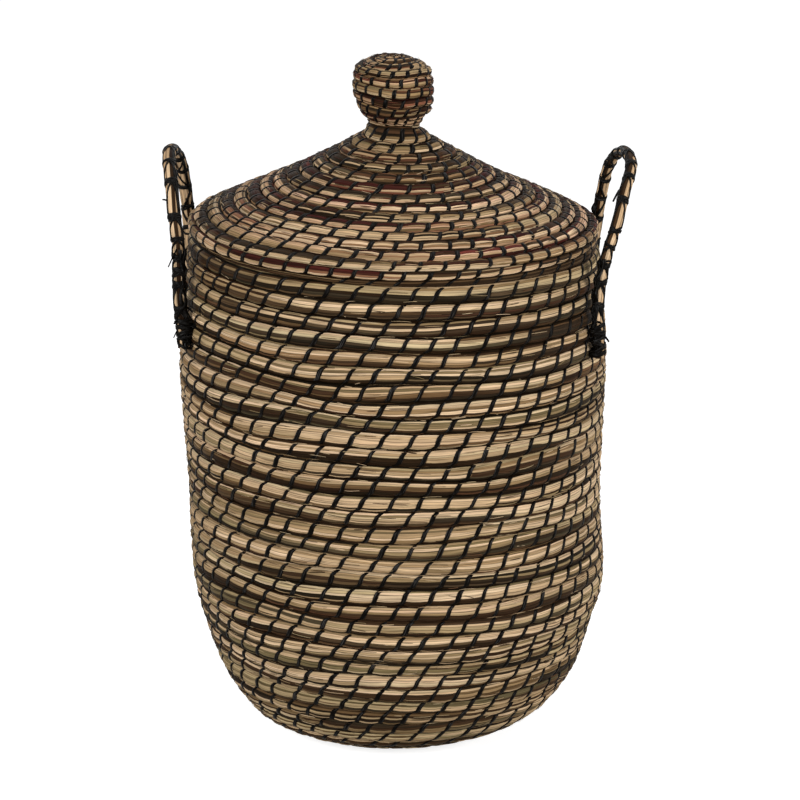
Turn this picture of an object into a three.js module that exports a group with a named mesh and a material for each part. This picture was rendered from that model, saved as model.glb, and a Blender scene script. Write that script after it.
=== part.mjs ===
// Laundry basket wound from grass bundles, with a conical lid and two loop handles.
// Millimetres, +Z up. The base stands on z = 0 round the Z axis and the front faces -Y.
import * as THREE from 'three';

// Gap between pieces that touch
const SEAT_GAP = 0.3;

// Meridian of the basket, on the crests of its rows: an inset is how much narrower than the belly it is
const BELLY_RADIUS = 200;
const BELLY_HEIGHT = 352;
const BASE_INSET = 104;
const HEEL_INSET = 60;
const HEEL_HEIGHT = 21;
const FOOT_INSET = 34.5;
const FOOT_HEIGHT = 54;
const HIP_INSET = 17.5;
const HIP_HEIGHT = 97;
const WAIST_INSET = 5.5;
const WAIST_HEIGHT = 145;
const WALL_INSET = 4.5;
const WALL_HEIGHT = 239;
const SHOULDER_INSET = 2.8;
const SHOULDER_HEIGHT = 412;
const MOUTH_INSET = 9;
const MOUTH_HEIGHT = 478;
const MOUTH_STRAIGHT = 4;
const BASE_RADIUS = BELLY_RADIUS - BASE_INSET;
const MOUTH_RADIUS = BELLY_RADIUS - MOUTH_INSET;

// Bundle of the basket: how thick it is, how deep the grooves between its rows are,
// how wide the round of a row is nearly flat, and how far each turn climbs along the meridian
const WALL_BUNDLE = { thickness: 12.8, groove: 4.6, crown: 6.6, pitch: 14.9, segments: 20 };
const BASE_CENTRE_RADIUS = 15;

// Heights at which a new length of bundle is spliced in
const LOWER_SPLICE = 52;
const MIDDLE_SPLICE = 185;
const UPPER_SPLICE = 325;

// How a coil ends level: turns in its last length, and the share of a turn cut off its thin end
const RIM_TURNS = 1.3;
const LID_EDGE_TURNS = 2.4;
const TAPER_END = 0.15;

// Meridian of the lid, on the crests of its rows: a rise is counted from where the lid rests
const LID_OVERHANG = 1;
const LID_RADIUS = MOUTH_RADIUS + LID_OVERHANG;
const LID_REST = MOUTH_HEIGHT + SEAT_GAP;
const LID_EDGE_ROUND = 12;
const LID_EDGE_STRAIGHT = 4;
const LID_EDGE_START = THREE.MathUtils.degToRad(63);
const LID_BROW_INSET = 45;
const LID_BROW_RISE = 33.2;
const LID_SLOPE_INSET = 92;
const LID_SLOPE_RISE = 54.7;
const LID_FLARE_RADIUS = 42;
const LID_FLARE_RISE = 87.2;
const LID_THROAT_RADIUS = 32;
const LID_THROAT_RISE = 93.7;
const NECK_RADIUS = 27;
const NECK_RISE = 104.1;
const NECK_STRAIGHT = 5;
const NECK_HEIGHT = LID_REST + NECK_RISE;
const LID_BUNDLE = { thickness: 12.8, groove: 4.6, crown: 6, pitch: 13.7, segments: 18 };

// Seat ring under the lid: two rows that drop inside the mouth
const SEAT_BUNDLE_RADIUS = 5.5;
const SEAT_ROWS = 2;
const SEAT_WAIST = 3.5;
const SEAT_SIDE_GAP = 4;

// Ball knob of the lid: a rise is counted from the neck, and a drop from the knob's top
const KNOB_RADIUS = 37.9;
const KNOB_HEIGHT = 64.6;
const KNOB_WIDEST_RISE = 35.6;
const KNOB_CHIN_RADIUS = 33;
const KNOB_CHIN_RISE = 11.1;
const KNOB_BROW_RADIUS = 32.4;
const KNOB_BROW_DROP = 10;
const KNOB_CROWN_RADIUS = 16;
const KNOB_CROWN_DROP = 1.4;
const KNOB_TOP = NECK_HEIGHT + KNOB_HEIGHT;
const KNOB_BUNDLE = { thickness: 9, groove: 3, crown: 4.6, pitch: 10.5, segments: 12 };
const KNOB_START_RADIUS = 8.5;
const KNOB_CORE_GAP = 2;
const KNOB_CORE_RINGS = 10;

// Handles: one bundle each, bent to a round arch over two legs
const HANDLE_BUNDLE_RADIUS = 6.2;
const HANDLE_FOOT_DROP = 83;
const HANDLE_FOOT_TAIL = 9;
const HANDLE_LEG_DROP = 48;
const HANDLE_FOOT_HEIGHT = MOUTH_HEIGHT - HANDLE_FOOT_DROP;
const HANDLE_LEG_HEIGHT = MOUTH_HEIGHT - HANDLE_LEG_DROP;
const HANDLE_SIDES = 8;
const HANDLE_STEPS = 38;

// Each handle has its own hand-made shape. Its arch springs at springRise over the mouth's height.
// legs and arch say how much further out than the mouth its centreline stands:
// the front and the back leg, and even steps over the arch from front to back
const LEFT_HANDLE = {
  name: 'left',
  azimuth: -90.7,
  halfWidth: 72,
  springRise: 4,
  legs: [5.3, 4],
  arch: [6, 9.5, 12.5, 16, 17.5, 15.5, 11.5, 9, 6.5],
};
const RIGHT_HANDLE = {
  name: 'right',
  azimuth: 89.4,
  halfWidth: 82,
  springRise: -6.5,
  legs: [-3.5, -2.5],
  arch: [2.5, 12.5, 20, 27, 24.5, 18.5, 11, 6, 1.5],
};

// Lashings: flat strip wound two or three times round a handle
const LASHING_THICKNESS = 1;
const LASHING_GAP = 0.65;
const LASHING_WIDTH = 6;
const FOOT_LASHING_WIDTH = 9;
const LASHING_EVERY = 2;

// Colours
const STRAW = 0xb89a6c;
const MIXED_GRASS = 0x8d7350;
const DARK_GRASS = 0x4a3629;
const BLACK_STRIP = 0x1b1a18;

const group = new THREE.Group();

function grass(color) {
  return new THREE.MeshStandardMaterial({ color, roughness: 0.75, metalness: 0 });
}

function strip(color) {
  return new THREE.MeshStandardMaterial({ color, roughness: 0.45, metalness: 0 });
}

function add(name, geometry, material) {
  const mesh = new THREE.Mesh(geometry, material);
  mesh.name = name;
  group.add(mesh);
  return mesh;
}

// Meridians

const MERIDIAN_STEPS = 240;
const NORMAL_REACH = 4;

// Point with its radius and height
function at(radius, height) {
  return new THREE.Vector2(radius, height);
}

// Smooth curve through a few points, as many short steps
function smooth(points) {
  const path = points.map((p) => new THREE.Vector3(p.x, p.y, 0));
  const curve = new THREE.CatmullRomCurve3(path, false, 'centripetal');
  return curve.getSpacedPoints(MERIDIAN_STEPS).map((p) => at(p.x, p.y));
}

// A meridian read by arc length; side is 1 where its outside is on the right of its direction
function meridian(points, side) {
  const lengths = [0];
  for (let i = 1; i < points.length; i += 1) {
    lengths.push(lengths[i - 1] + points[i].distanceTo(points[i - 1]));
  }
  const total = lengths[lengths.length - 1];

  function point(s) {
    const wanted = THREE.MathUtils.clamp(s, 0, total);
    const i = Math.max(1, lengths.findIndex((length) => length >= wanted));
    const share = (wanted - lengths[i - 1]) / (lengths[i] - lengths[i - 1]);
    return points[i - 1].clone().lerp(points[i], share);
  }

  function normal(s) {
    const along = point(s + NORMAL_REACH).sub(point(s - NORMAL_REACH)).normalize();
    return at(along.y * side, -along.x * side);
  }

  // Point at a depth under the crests
  function inside(s, depth) {
    return point(s).addScaledVector(normal(s), -depth);
  }

  // Arc length at which the meridian passes a height on its way up
  function lengthAtHeight(height) {
    const i = points.findIndex((p) => p.y >= height);
    const share = (height - points[i - 1].y) / (points[i].y - points[i - 1].y);
    return THREE.MathUtils.lerp(lengths[i - 1], lengths[i], share);
  }

  return { total, point, inside, lengthAtHeight };
}

// Coils

// A coil climbs its meridian by one pitch per turn and ends level at both ends; sense 1 turns clockwise
function coil(bundle, line, start, sense) {
  const turns = (line.total - start) / bundle.pitch;

  // Arc length of the groove under the row that starts at this turn
  function groove(u) {
    return THREE.MathUtils.clamp(start + bundle.pitch * u, start, line.total);
  }

  function turnAt(s) {
    return (s - start) / bundle.pitch;
  }

  function place(u, s, depth) {
    const p = line.inside(s, depth);
    const angle = 2 * Math.PI * u * sense;
    return new THREE.Vector3(-p.x * Math.sin(angle), -p.x * Math.cos(angle), p.y);
  }

  return { bundle, line, turns, groove, turnAt, place };
}

// Closed solid from vertices and triangles, turned inside out if its volume is negative
function closedSolid(vertices, faces) {
  let volume = 0;
  const cross = new THREE.Vector3();
  for (const [a, b, c] of faces) {
    volume += vertices[a].dot(cross.crossVectors(vertices[b], vertices[c]));
  }
  const ordered = volume < 0 ? faces.map(([a, b, c]) => [a, c, b]) : faces;
  const geometry = new THREE.BufferGeometry().setFromPoints(vertices);
  geometry.setIndex(ordered.flat());
  geometry.computeVertexNormals();
  return geometry;
}

// A length of the coil as one solid: each turn's rounded row is fused to the next along their groove
function coilLength(source, firstTurn, lastTurn) {
  const { bundle, groove, place } = source;
  const perTurn = bundle.segments;
  const crownShare = bundle.crown / bundle.pitch / 2;
  const outerShares = [0.5 - crownShare, 0.5 + crownShare];
  const innerShares = [0.5];
  const first = Math.round(firstTurn * perTurn);
  const last = Math.round(lastTurn * perTurn);
  const count = last - first;
  const spliced = firstTurn > 0;
  const capShift = spliced ? SEAT_GAP / (2 * Math.PI * source.line.point(groove(firstTurn)).x) : 0;
  const vertices = [];
  const outerGroove = [];
  const innerGroove = [];
  const outerCrest = [];
  const innerCrest = [];
  const put = (point) => vertices.push(point) - 1;

  for (let i = 0; i <= count + perTurn; i += 1) {
    const onCap = i === 0 || i === perTurn;
    const u = (first + i) / perTurn + (onCap ? capShift : 0);
    const lift = spliced && i <= perTurn ? SEAT_GAP : 0;
    const s = groove(u) + lift;
    outerGroove.push(put(place(u, s, bundle.groove)));
    innerGroove.push(put(place(u, s, bundle.thickness - bundle.groove)));
  }
  for (let i = 0; i <= count; i += 1) {
    const u = (first + i) / perTurn + (i === 0 ? capShift : 0);
    const low = groove(u);
    const high = groove(u + 1);
    const thinning = bundle.groove * (1 - (high - low) / bundle.pitch);
    const row = (share, depth) => put(place(u, THREE.MathUtils.lerp(low, high, share), depth));
    outerCrest.push(outerShares.map((share) => row(share, thinning)));
    innerCrest.push(innerShares.map((share) => row(share, bundle.thickness - thinning)));
  }

  const faces = [];
  const quad = (a, b, c, d) => faces.push([a, b, c], [a, c, d]);
  const outerRow = (i) => [outerGroove[i], ...outerCrest[i], outerGroove[i + perTurn]];
  const innerRow = (i) => [innerGroove[i], ...innerCrest[i], innerGroove[i + perTurn]];
  for (let i = 0; i < count; i += 1) {
    const outer = [outerRow(i), outerRow(i + 1)];
    for (let k = 1; k < outer[0].length; k += 1) {
      quad(outer[0][k - 1], outer[1][k - 1], outer[1][k], outer[0][k]);
    }
    const inner = [innerRow(i), innerRow(i + 1)];
    for (let k = 1; k < inner[0].length; k += 1) {
      quad(inner[0][k], inner[1][k], inner[1][k - 1], inner[0][k - 1]);
    }
  }
  for (let i = 0; i < perTurn; i += 1) {
    quad(outerGroove[i], innerGroove[i], innerGroove[i + 1], outerGroove[i + 1]);
    const j = count + i;
    quad(innerGroove[j], outerGroove[j], outerGroove[j + 1], innerGroove[j + 1]);
  }
  const startCap = [...outerRow(0), ...innerRow(0).reverse()];
  const endCap = [...outerRow(count), ...innerRow(count).reverse()].reverse();
  for (const cap of [startCap, endCap]) {
    for (let k = 2; k < cap.length; k += 1) {
      faces.push([cap[0], cap[k - 1], cap[k]]);
    }
  }
  return closedSolid(vertices, faces);
}

// Solid of revolution round the Z axis from points of radius and height
function revolved(points, segments) {
  return new THREE.LatheGeometry(points, segments).rotateX(Math.PI / 2);
}

// Basket

const baseEdge = at(BASE_RADIUS, 0);
const wallCurve = smooth([
  baseEdge,
  at(BELLY_RADIUS - HEEL_INSET, HEEL_HEIGHT),
  at(BELLY_RADIUS - FOOT_INSET, FOOT_HEIGHT),
  at(BELLY_RADIUS - HIP_INSET, HIP_HEIGHT),
  at(BELLY_RADIUS - WAIST_INSET, WAIST_HEIGHT),
  at(BELLY_RADIUS - WALL_INSET, WALL_HEIGHT),
  at(BELLY_RADIUS, BELLY_HEIGHT),
  at(BELLY_RADIUS - SHOULDER_INSET, SHOULDER_HEIGHT),
  at(MOUTH_RADIUS, MOUTH_HEIGHT - MOUTH_STRAIGHT),
]);
const basketLine = meridian([at(0, 0), ...wallCurve, at(MOUTH_RADIUS, MOUTH_HEIGHT)], 1);
const basketCoil = coil(WALL_BUNDLE, basketLine, BASE_CENTRE_RADIUS, 1);

function addBasket() {
  const spliceTurns = [
    basketCoil.turnAt(BASE_RADIUS),
    basketCoil.turnAt(basketLine.lengthAtHeight(LOWER_SPLICE)),
    basketCoil.turnAt(basketLine.lengthAtHeight(MIDDLE_SPLICE)),
    basketCoil.turnAt(basketLine.lengthAtHeight(UPPER_SPLICE)),
    basketCoil.turns - RIM_TURNS,
    basketCoil.turns - TAPER_END,
  ];
  const names = ['foot_coil', 'lower_wall_coil', 'middle_wall_coil', 'upper_wall_coil', 'rim_coil'];
  const colors = [MIXED_GRASS, MIXED_GRASS, STRAW, STRAW, STRAW];
  const base = coilLength(basketCoil, TAPER_END - 1, spliceTurns[0]);
  add('base_coil', base, grass(MIXED_GRASS));
  names.forEach((name, i) => {
    const length = coilLength(basketCoil, spliceTurns[i], spliceTurns[i + 1]);
    add(name, length, grass(colors[i]));
  });
  const radius = BASE_CENTRE_RADIUS - SEAT_GAP;
  const top = WALL_BUNDLE.thickness - WALL_BUNDLE.groove;
  const button = [at(0, 0), at(radius, 0), at(radius, top), at(0, WALL_BUNDLE.thickness)];
  add('base_centre', revolved(button, WALL_BUNDLE.segments), grass(MIXED_GRASS));
}

// Lid

const edgeCentre = at(LID_RADIUS - LID_EDGE_ROUND, LID_REST + LID_EDGE_STRAIGHT);

function lidEdgePoint(angle) {
  return at(Math.cos(angle), Math.sin(angle)).multiplyScalar(LID_EDGE_ROUND).add(edgeCentre);
}

const lidSlope = smooth([
  at(NECK_RADIUS, NECK_HEIGHT - NECK_STRAIGHT),
  at(LID_THROAT_RADIUS, LID_REST + LID_THROAT_RISE),
  at(LID_FLARE_RADIUS, LID_REST + LID_FLARE_RISE),
  at(LID_RADIUS - LID_SLOPE_INSET, LID_REST + LID_SLOPE_RISE),
  at(LID_RADIUS - LID_BROW_INSET, LID_REST + LID_BROW_RISE),
  lidEdgePoint(LID_EDGE_START),
]);
const EDGE_STEPS = 12;
const lidEdge = [];
for (let i = 1; i <= EDGE_STEPS; i += 1) {
  lidEdge.push(lidEdgePoint(LID_EDGE_START * (1 - i / EDGE_STEPS)));
}
const lidNeck = at(NECK_RADIUS, NECK_HEIGHT);
const lidFoot = at(LID_RADIUS, LID_REST);
const lidLine = meridian([lidNeck, ...lidSlope, ...lidEdge, lidFoot], -1);
const lidCoil = coil(LID_BUNDLE, lidLine, 0, -1);

const knobBall = smooth([
  at(0, KNOB_TOP),
  at(KNOB_CROWN_RADIUS, KNOB_TOP - KNOB_CROWN_DROP),
  at(KNOB_BROW_RADIUS, KNOB_TOP - KNOB_BROW_DROP),
  at(KNOB_RADIUS, NECK_HEIGHT + KNOB_WIDEST_RISE),
  at(KNOB_CHIN_RADIUS, NECK_HEIGHT + KNOB_CHIN_RISE),
  at(NECK_RADIUS, NECK_HEIGHT + NECK_STRAIGHT),
]);
const knobLine = meridian([...knobBall, at(NECK_RADIUS, NECK_HEIGHT + SEAT_GAP)], -1);
const knobCoil = coil(KNOB_BUNDLE, knobLine, KNOB_START_RADIUS, -1);

function addLid() {
  const edgeFrom = lidCoil.turns - LID_EDGE_TURNS;
  const edgeTo = lidCoil.turns - TAPER_END;
  add('lid_coil', coilLength(lidCoil, TAPER_END - 1, edgeFrom), grass(MIXED_GRASS));
  add('lid_edge_coil', coilLength(lidCoil, edgeFrom, edgeTo), grass(STRAW));
}

// Ring of fused rows hung under the lid just inside the mouth
function addSeatRing() {
  const mouthInside = MOUTH_RADIUS - WALL_BUNDLE.thickness;
  const centre = mouthInside - SEAT_SIDE_GAP - SEAT_BUNDLE_RADIUS;
  const depth = LID_BUNDLE.thickness + SEAT_GAP + SEAT_BUNDLE_RADIUS;
  let s = lidLine.total;
  while (lidLine.inside(s, depth).x > centre) {
    s -= SEAT_GAP;
  }
  const top = lidLine.inside(s, depth).y;
  const rise = Math.sqrt(SEAT_BUNDLE_RADIUS ** 2 - SEAT_WAIST ** 2);
  const right = [at(SEAT_WAIST, top + rise)];
  for (let row = 0; row < SEAT_ROWS; row += 1) {
    const height = top - 2 * row * rise;
    right.push(at(SEAT_BUNDLE_RADIUS, height));
    right.push(at(SEAT_WAIST, height - rise));
  }
  const left = right.map((p) => at(-p.x, p.y)).reverse();
  const section = [...right, ...left].map((p) => at(centre + p.x, p.y));
  section.push(section[0].clone());
  add('lid_seat_coil', revolved(section.reverse(), LID_BUNDLE.segments), grass(STRAW));
}

function addKnob() {
  const end = knobCoil.turns - TAPER_END;
  const wound = coilLength(knobCoil, TAPER_END - 1, end);
  add('knob_coil', wound, grass(MIXED_GRASS));

  const side = [KNOB_BUNDLE.groove, KNOB_BUNDLE.thickness - KNOB_BUNDLE.groove];
  const [outer, inner] = side.map((depth) => knobLine.inside(KNOB_START_RADIUS - 2 * SEAT_GAP, depth));
  const underside = KNOB_TOP - KNOB_BUNDLE.thickness;
  const button = [at(0, underside), inner, outer, at(0, KNOB_TOP)];
  add('knob_centre', revolved(button, KNOB_BUNDLE.segments), grass(DARK_GRASS));

  const inside = Math.min(KNOB_RADIUS, (KNOB_HEIGHT + KNOB_BUNDLE.thickness) / 2);
  const coreRadius = inside - KNOB_BUNDLE.thickness - KNOB_CORE_GAP;
  const core = new THREE.SphereGeometry(coreRadius, KNOB_BUNDLE.segments, KNOB_CORE_RINGS);
  core.rotateX(Math.PI / 2);
  core.translate(0, 0, underside - SEAT_GAP - coreRadius);
  add('knob_core', core, grass(DARK_GRASS));
}

// Handles

// Direction of an azimuth in degrees, from the front (-Y) towards the right (+X)
function direction(azimuth) {
  const angle = THREE.MathUtils.degToRad(azimuth);
  return new THREE.Vector3(Math.sin(angle), -Math.cos(angle), 0);
}

// Crest of the row of the wall nearest a height, as the faceted wall has it at an azimuth
function wallCrest(azimuth, height) {
  const share = -azimuth / 360;
  const turn = Math.round(basketCoil.turnAt(basketLine.lengthAtHeight(height)) - share - 0.5) + share;
  const crest = basketLine.point((basketCoil.groove(turn) + basketCoil.groove(turn + 1)) / 2);
  const facet = (2 * Math.PI) / WALL_BUNDLE.segments;
  const angle = THREE.MathUtils.degToRad(azimuth);
  const offMiddle = THREE.MathUtils.euclideanModulo(angle, facet) - facet / 2;
  const flattening = Math.cos(facet / 2) / Math.cos(offMiddle);
  return at(crest.x * flattening, crest.y);
}

// Centreline of a handle: foot, leg, arch, leg, foot
function handleLine({ azimuth, halfWidth, springRise, legs, arch }) {
  const out = direction(azimuth);
  const along = direction(azimuth + 90 * Math.sign(azimuth));
  const place = (distance, sideways, height) =>
    new THREE.Vector3(0, 0, height).addScaledVector(out, distance).addScaledVector(along, sideways);
  const seat = HANDLE_BUNDLE_RADIUS + LASHING_GAP + LASHING_THICKNESS + SEAT_GAP;

  // One leg from its foot up; side is -1 at the front and 1 at the back
  function leg(side, outward) {
    const spread = Math.asin(halfWidth / (BELLY_RADIUS + seat));
    const legAzimuth = azimuth + side * Math.sign(azimuth) * THREE.MathUtils.radToDeg(spread);
    const crest = wallCrest(legAzimuth, HANDLE_FOOT_HEIGHT);
    const footOutward = Math.sqrt((crest.x + seat) ** 2 - halfWidth ** 2);
    return [
      place(footOutward, side * halfWidth, crest.y - HANDLE_FOOT_TAIL),
      place(footOutward, side * halfWidth, crest.y),
      place(MOUTH_RADIUS + outward, side * halfWidth, HANDLE_LEG_HEIGHT),
    ];
  }

  const over = arch.map((outward, i) => {
    const angle = (Math.PI * i) / (arch.length - 1);
    const height = MOUTH_HEIGHT + springRise + halfWidth * Math.sin(angle);
    return place(MOUTH_RADIUS + outward, -halfWidth * Math.cos(angle), height);
  });
  const points = [...leg(-1, legs[0]), ...over, ...leg(1, legs[1]).reverse()];
  return new THREE.CatmullRomCurve3(points, false, 'centripetal');
}

// Regular outline round the centreline
function sides(radius, Outline = THREE.Shape) {
  const corners = [];
  for (let i = 0; i < HANDLE_SIDES; i += 1) {
    const angle = (2 * Math.PI * i) / HANDLE_SIDES;
    corners.push(at(radius * Math.cos(angle), radius * Math.sin(angle)));
  }
  return new Outline(corners);
}

function addHandle(handle) {
  const line = handleLine(handle);
  const bundle = new THREE.ExtrudeGeometry(sides(HANDLE_BUNDLE_RADIUS), {
    steps: HANDLE_STEPS,
    extrudePath: line,
  });
  add(`handle_${handle.name}`, bundle, grass(STRAW));

  const hole = HANDLE_BUNDLE_RADIUS + LASHING_GAP;
  const band = sides(hole + LASHING_THICKNESS);
  band.holes.push(sides(hole, THREE.Path));
  const frames = line.computeFrenetFrames(HANDLE_STEPS, false);
  const spots = line.getSpacedPoints(HANDLE_STEPS);
  let number = 0;
  for (let step = 1; step < HANDLE_STEPS; step += LASHING_EVERY) {
    const atFoot = step === 1 || step === HANDLE_STEPS - 1;
    const width = atFoot ? FOOT_LASHING_WIDTH : LASHING_WIDTH;
    const wound = new THREE.ExtrudeGeometry(band, { depth: width, bevelEnabled: false });
    wound.translate(0, 0, -width / 2);
    number += 1;
    const name = `handle_${handle.name}_lashing_${String(number).padStart(2, '0')}`;
    const lashing = add(name, wound, strip(BLACK_STRIP));
    const turned = new THREE.Matrix4();
    turned.makeBasis(frames.normals[step], frames.binormals[step], frames.tangents[step]);
    lashing.quaternion.setFromRotationMatrix(turned);
    lashing.position.copy(spots[step]);
  }
}

addBasket();
addLid();
addSeatRing();
addKnob();
addHandle(LEFT_HANDLE);
addHandle(RIGHT_HANDLE);

export default group;
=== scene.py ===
# %% [markdown]
# # A laundry basket coiled from grass
# The real basket is one long bundle of grass, wound turn upon turn and sewn with a black strip.
# The frame below already holds its solids: lengths of coil with plain rounded rows.
# This notebook puts the grass, the stitches and the lashings on them, each where its solid stands.

# %% Load the frame
import math

import bpy
import numpy as np
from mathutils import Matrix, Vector


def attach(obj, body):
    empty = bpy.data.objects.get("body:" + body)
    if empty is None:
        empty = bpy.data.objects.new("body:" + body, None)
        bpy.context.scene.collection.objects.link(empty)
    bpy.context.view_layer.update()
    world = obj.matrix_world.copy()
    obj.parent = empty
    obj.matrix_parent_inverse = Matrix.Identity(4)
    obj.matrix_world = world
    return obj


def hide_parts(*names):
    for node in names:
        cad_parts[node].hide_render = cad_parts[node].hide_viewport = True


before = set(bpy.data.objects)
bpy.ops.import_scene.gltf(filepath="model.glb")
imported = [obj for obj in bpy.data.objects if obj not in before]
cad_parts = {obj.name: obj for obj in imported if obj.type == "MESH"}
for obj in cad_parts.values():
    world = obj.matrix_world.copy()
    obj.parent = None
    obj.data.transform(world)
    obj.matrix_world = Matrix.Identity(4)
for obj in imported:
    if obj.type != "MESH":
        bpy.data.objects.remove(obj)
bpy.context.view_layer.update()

# %% [markdown]
# ## Camera, floor and light
# The photograph was taken from about three and a half metres away with a long lens, a little from above.
# A wide lens close by would show more of the lid and bow the rows, so distance and lens are matched first.
# The floor glows white for the camera alone, and the world for the camera and in reflections. The lamps stay at a
# level where colours come out as written.

# %% Camera
AIM = Vector((0.0052, 0, 0.3147))
ELEVATION = math.radians(16)
DISTANCE = 3.538
LENS_MM, SENSOR_MM = 168.5, 36
camera = bpy.data.objects.new("camera", bpy.data.cameras.new("camera"))
bpy.context.collection.objects.link(camera)
camera.data.lens = LENS_MM
camera.data.sensor_width = SENSOR_MM
back = Vector((0, -math.cos(ELEVATION), math.sin(ELEVATION)))
camera.location = AIM + back * DISTANCE
camera.rotation_euler = (-back).to_track_quat("-Z", "Y").to_euler()
bpy.context.scene.camera = camera
bpy.context.scene.view_settings.view_transform = "Standard"


# %% Node helpers
def node(tree, kind, inputs=None, **settings):
    """New node of a kind; inputs maps a socket's name or number to a value or to another node's output."""
    made = tree.nodes.new(kind)
    for key, value in settings.items():
        setattr(made, key, value)
    for key, value in (inputs or {}).items():
        if isinstance(value, bpy.types.NodeSocket):
            tree.links.new(value, made.inputs[key])
        else:
            made.inputs[key].default_value = value
    return made


def maths(tree, operation, *values):
    """Output of a Math node over values, each a number or another node's output."""
    return node(tree, "ShaderNodeMath", dict(enumerate(values)), operation=operation).outputs[0]


def ranged(tree, value, low, high, to_low, to_high):
    """Value with the range low to high stretched to the range to_low to to_high, clamped at both ends."""
    return node(tree, "ShaderNodeMapRange", dict(enumerate((value, low, high, to_low, to_high)))).outputs[0]


def blended(tree, share, first, second, blend="MIX"):
    """Two colours blended by a share."""
    colors = {0: share, 6: first, 7: second}
    return node(tree, "ShaderNodeMix", colors, data_type="RGBA", blend_type=blend).outputs[2]


def new_material(name):
    """Empty node material and its tree."""
    material = bpy.data.materials.new(name)
    material.use_nodes = True
    material.node_tree.nodes.clear()
    return material, material.node_tree


# %% Floor and world
WHITE = (1, 1, 1, 1)
FLOOR_GREY = (0.7, 0.7, 0.7, 1)
FLOOR_GLOW = 0.78
FLOOR_HALF = 12
WORLD_LIGHT = 0.3
floor_material, tree = new_material("white_floor")
path = node(tree, "ShaderNodeLightPath")
paint = node(tree, "ShaderNodeBsdfDiffuse", {"Color": FLOOR_GREY})
glow = node(tree, "ShaderNodeEmission", {"Color": WHITE, "Strength": FLOOR_GLOW})
dark = node(tree, "ShaderNodeEmission", {"Strength": 0})
seen = node(tree, "ShaderNodeMixShader", {0: path.outputs["Is Camera Ray"], 1: dark.outputs[0], 2: glow.outputs[0]})
both = node(tree, "ShaderNodeAddShader", {0: paint.outputs[0], 1: seen.outputs[0]})
node(tree, "ShaderNodeOutputMaterial", {"Surface": both.outputs[0]})

corners = [(x * FLOOR_HALF, y * FLOOR_HALF, 0) for x, y in ((-1, -1), (1, -1), (1, 1), (-1, 1))]
floor_mesh = bpy.data.meshes.new("floor")
floor_mesh.from_pydata(corners, [], [(0, 1, 2, 3)])
floor_mesh.materials.append(floor_material)
floor = bpy.data.objects.new("floor", floor_mesh)
bpy.context.collection.objects.link(floor)

world = bpy.data.worlds.new("studio")
bpy.context.scene.world = world
world.use_nodes = True
tree = world.node_tree
tree.nodes.clear()
path = node(tree, "ShaderNodeLightPath")
bounced = maths(tree, "MAXIMUM", path.outputs["Is Glossy Ray"], path.outputs["Is Transmission Ray"])
bright = maths(tree, "MAXIMUM", path.outputs["Is Camera Ray"], bounced)
strength = ranged(tree, bright, 0, 1, WORLD_LIGHT, 1)
sky = node(tree, "ShaderNodeBackground", {"Color": WHITE, "Strength": strength})
node(tree, "ShaderNodeOutputWorld", {"Surface": sky.outputs[0]})


# %% Lamps
def soft_box(name, place, target, size, power):
    """Square area lamp at a place, turned towards a target."""
    lamp = bpy.data.objects.new(name, bpy.data.lights.new(name, "AREA"))
    lamp.data.size = size
    lamp.data.energy = power
    lamp.location = place
    lamp.rotation_euler = (Vector(target) - Vector(place)).to_track_quat("-Z", "Y").to_euler()
    bpy.context.collection.objects.link(lamp)


soft_box("key", (-1.6, -2.3, 1.5), (0, 0, 0.25), 1.0, 61)
soft_box("fill", (2.4, -1.6, 1.1), (0, 0, 0.25), 1.2, 60)
soft_box("top", (0.1, 0.2, 2.6), (0, 0, 0.5), 1.2, 11)

# %% [markdown]
# ## Meridian and coil
# A coiled basket is one row that climbs a curve, the meridian, by one pitch in each turn round the axis.
# So every point of it has three coordinates: the turn, the place across the row, and the height above the row's skin.
# The helpers work in millimetres with the same curve points as the solids, and whole arrays at once.

# %% Curves
MM = 0.001
REACH = 4
SPAN_STEPS = 40


def smooth(points):
    """Curve through points: on each span the cubic that has, at both ends, the slope of the neighbouring chords
    weighted by their knot steps, where a knot step is the square root of a chord's length."""
    p = np.array(points, float)
    p = np.vstack([2 * p[0] - p[1], p, 2 * p[-1] - p[-2]])
    step = np.sqrt(np.linalg.norm(np.diff(p, axis=0), axis=1))[:, None]
    p0, p1, p2, p3 = p[:-3], p[1:-2], p[2:-1], p[3:]
    d0, d1, d2 = step[:-2], step[1:-1], step[2:]
    m1 = ((p1 - p0) / d0 - (p2 - p0) / (d0 + d1) + (p2 - p1) / d1) * d1
    m2 = ((p2 - p1) / d1 - (p3 - p1) / (d1 + d2) + (p3 - p2) / d2) * d1
    t = (np.arange(SPAN_STEPS) / SPAN_STEPS)[None, :, None]
    p1, p2, m1, m2 = (a[:, None, :] for a in (p1, p2, m1, m2))
    curve = p1 + t * m1 + t**2 * (3 * p2 - 3 * p1 - 2 * m1 - m2) + t**3 * (2 * p1 - 2 * p2 + m1 + m2)
    return np.vstack([curve.reshape(-1, p.shape[1]), p[-2]])


def by_length(points):
    """Cumulative chord lengths along points."""
    return np.append(0, np.cumsum(np.linalg.norm(np.diff(points, axis=0), axis=1)))


def read_at(s, lengths, columns):
    """Columns of values that stand at lengths, read at the lengths s."""
    return np.stack([np.interp(s, lengths, column) for column in columns.T], axis=-1)


def unit(vectors):
    """Vectors divided by their lengths."""
    return vectors / np.maximum(np.linalg.norm(vectors, axis=-1, keepdims=True), 1e-9)


def bell(x, width):
    """Bell curve exp(-(x / width)^2)."""
    return np.exp(-((x / width) ** 2))


def meridian(points, side):
    """Line of (radius, height) points read by arc length; side is 1 where its outside lies on the right."""
    points = np.array(points, float)
    lengths = by_length(points)
    return {"points": points, "lengths": lengths, "total": lengths[-1], "side": side}


def on_line(line, s):
    """(radius, height) at arc length s."""
    return read_at(np.clip(s, 0, line["total"]), line["lengths"], line["points"])


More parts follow.
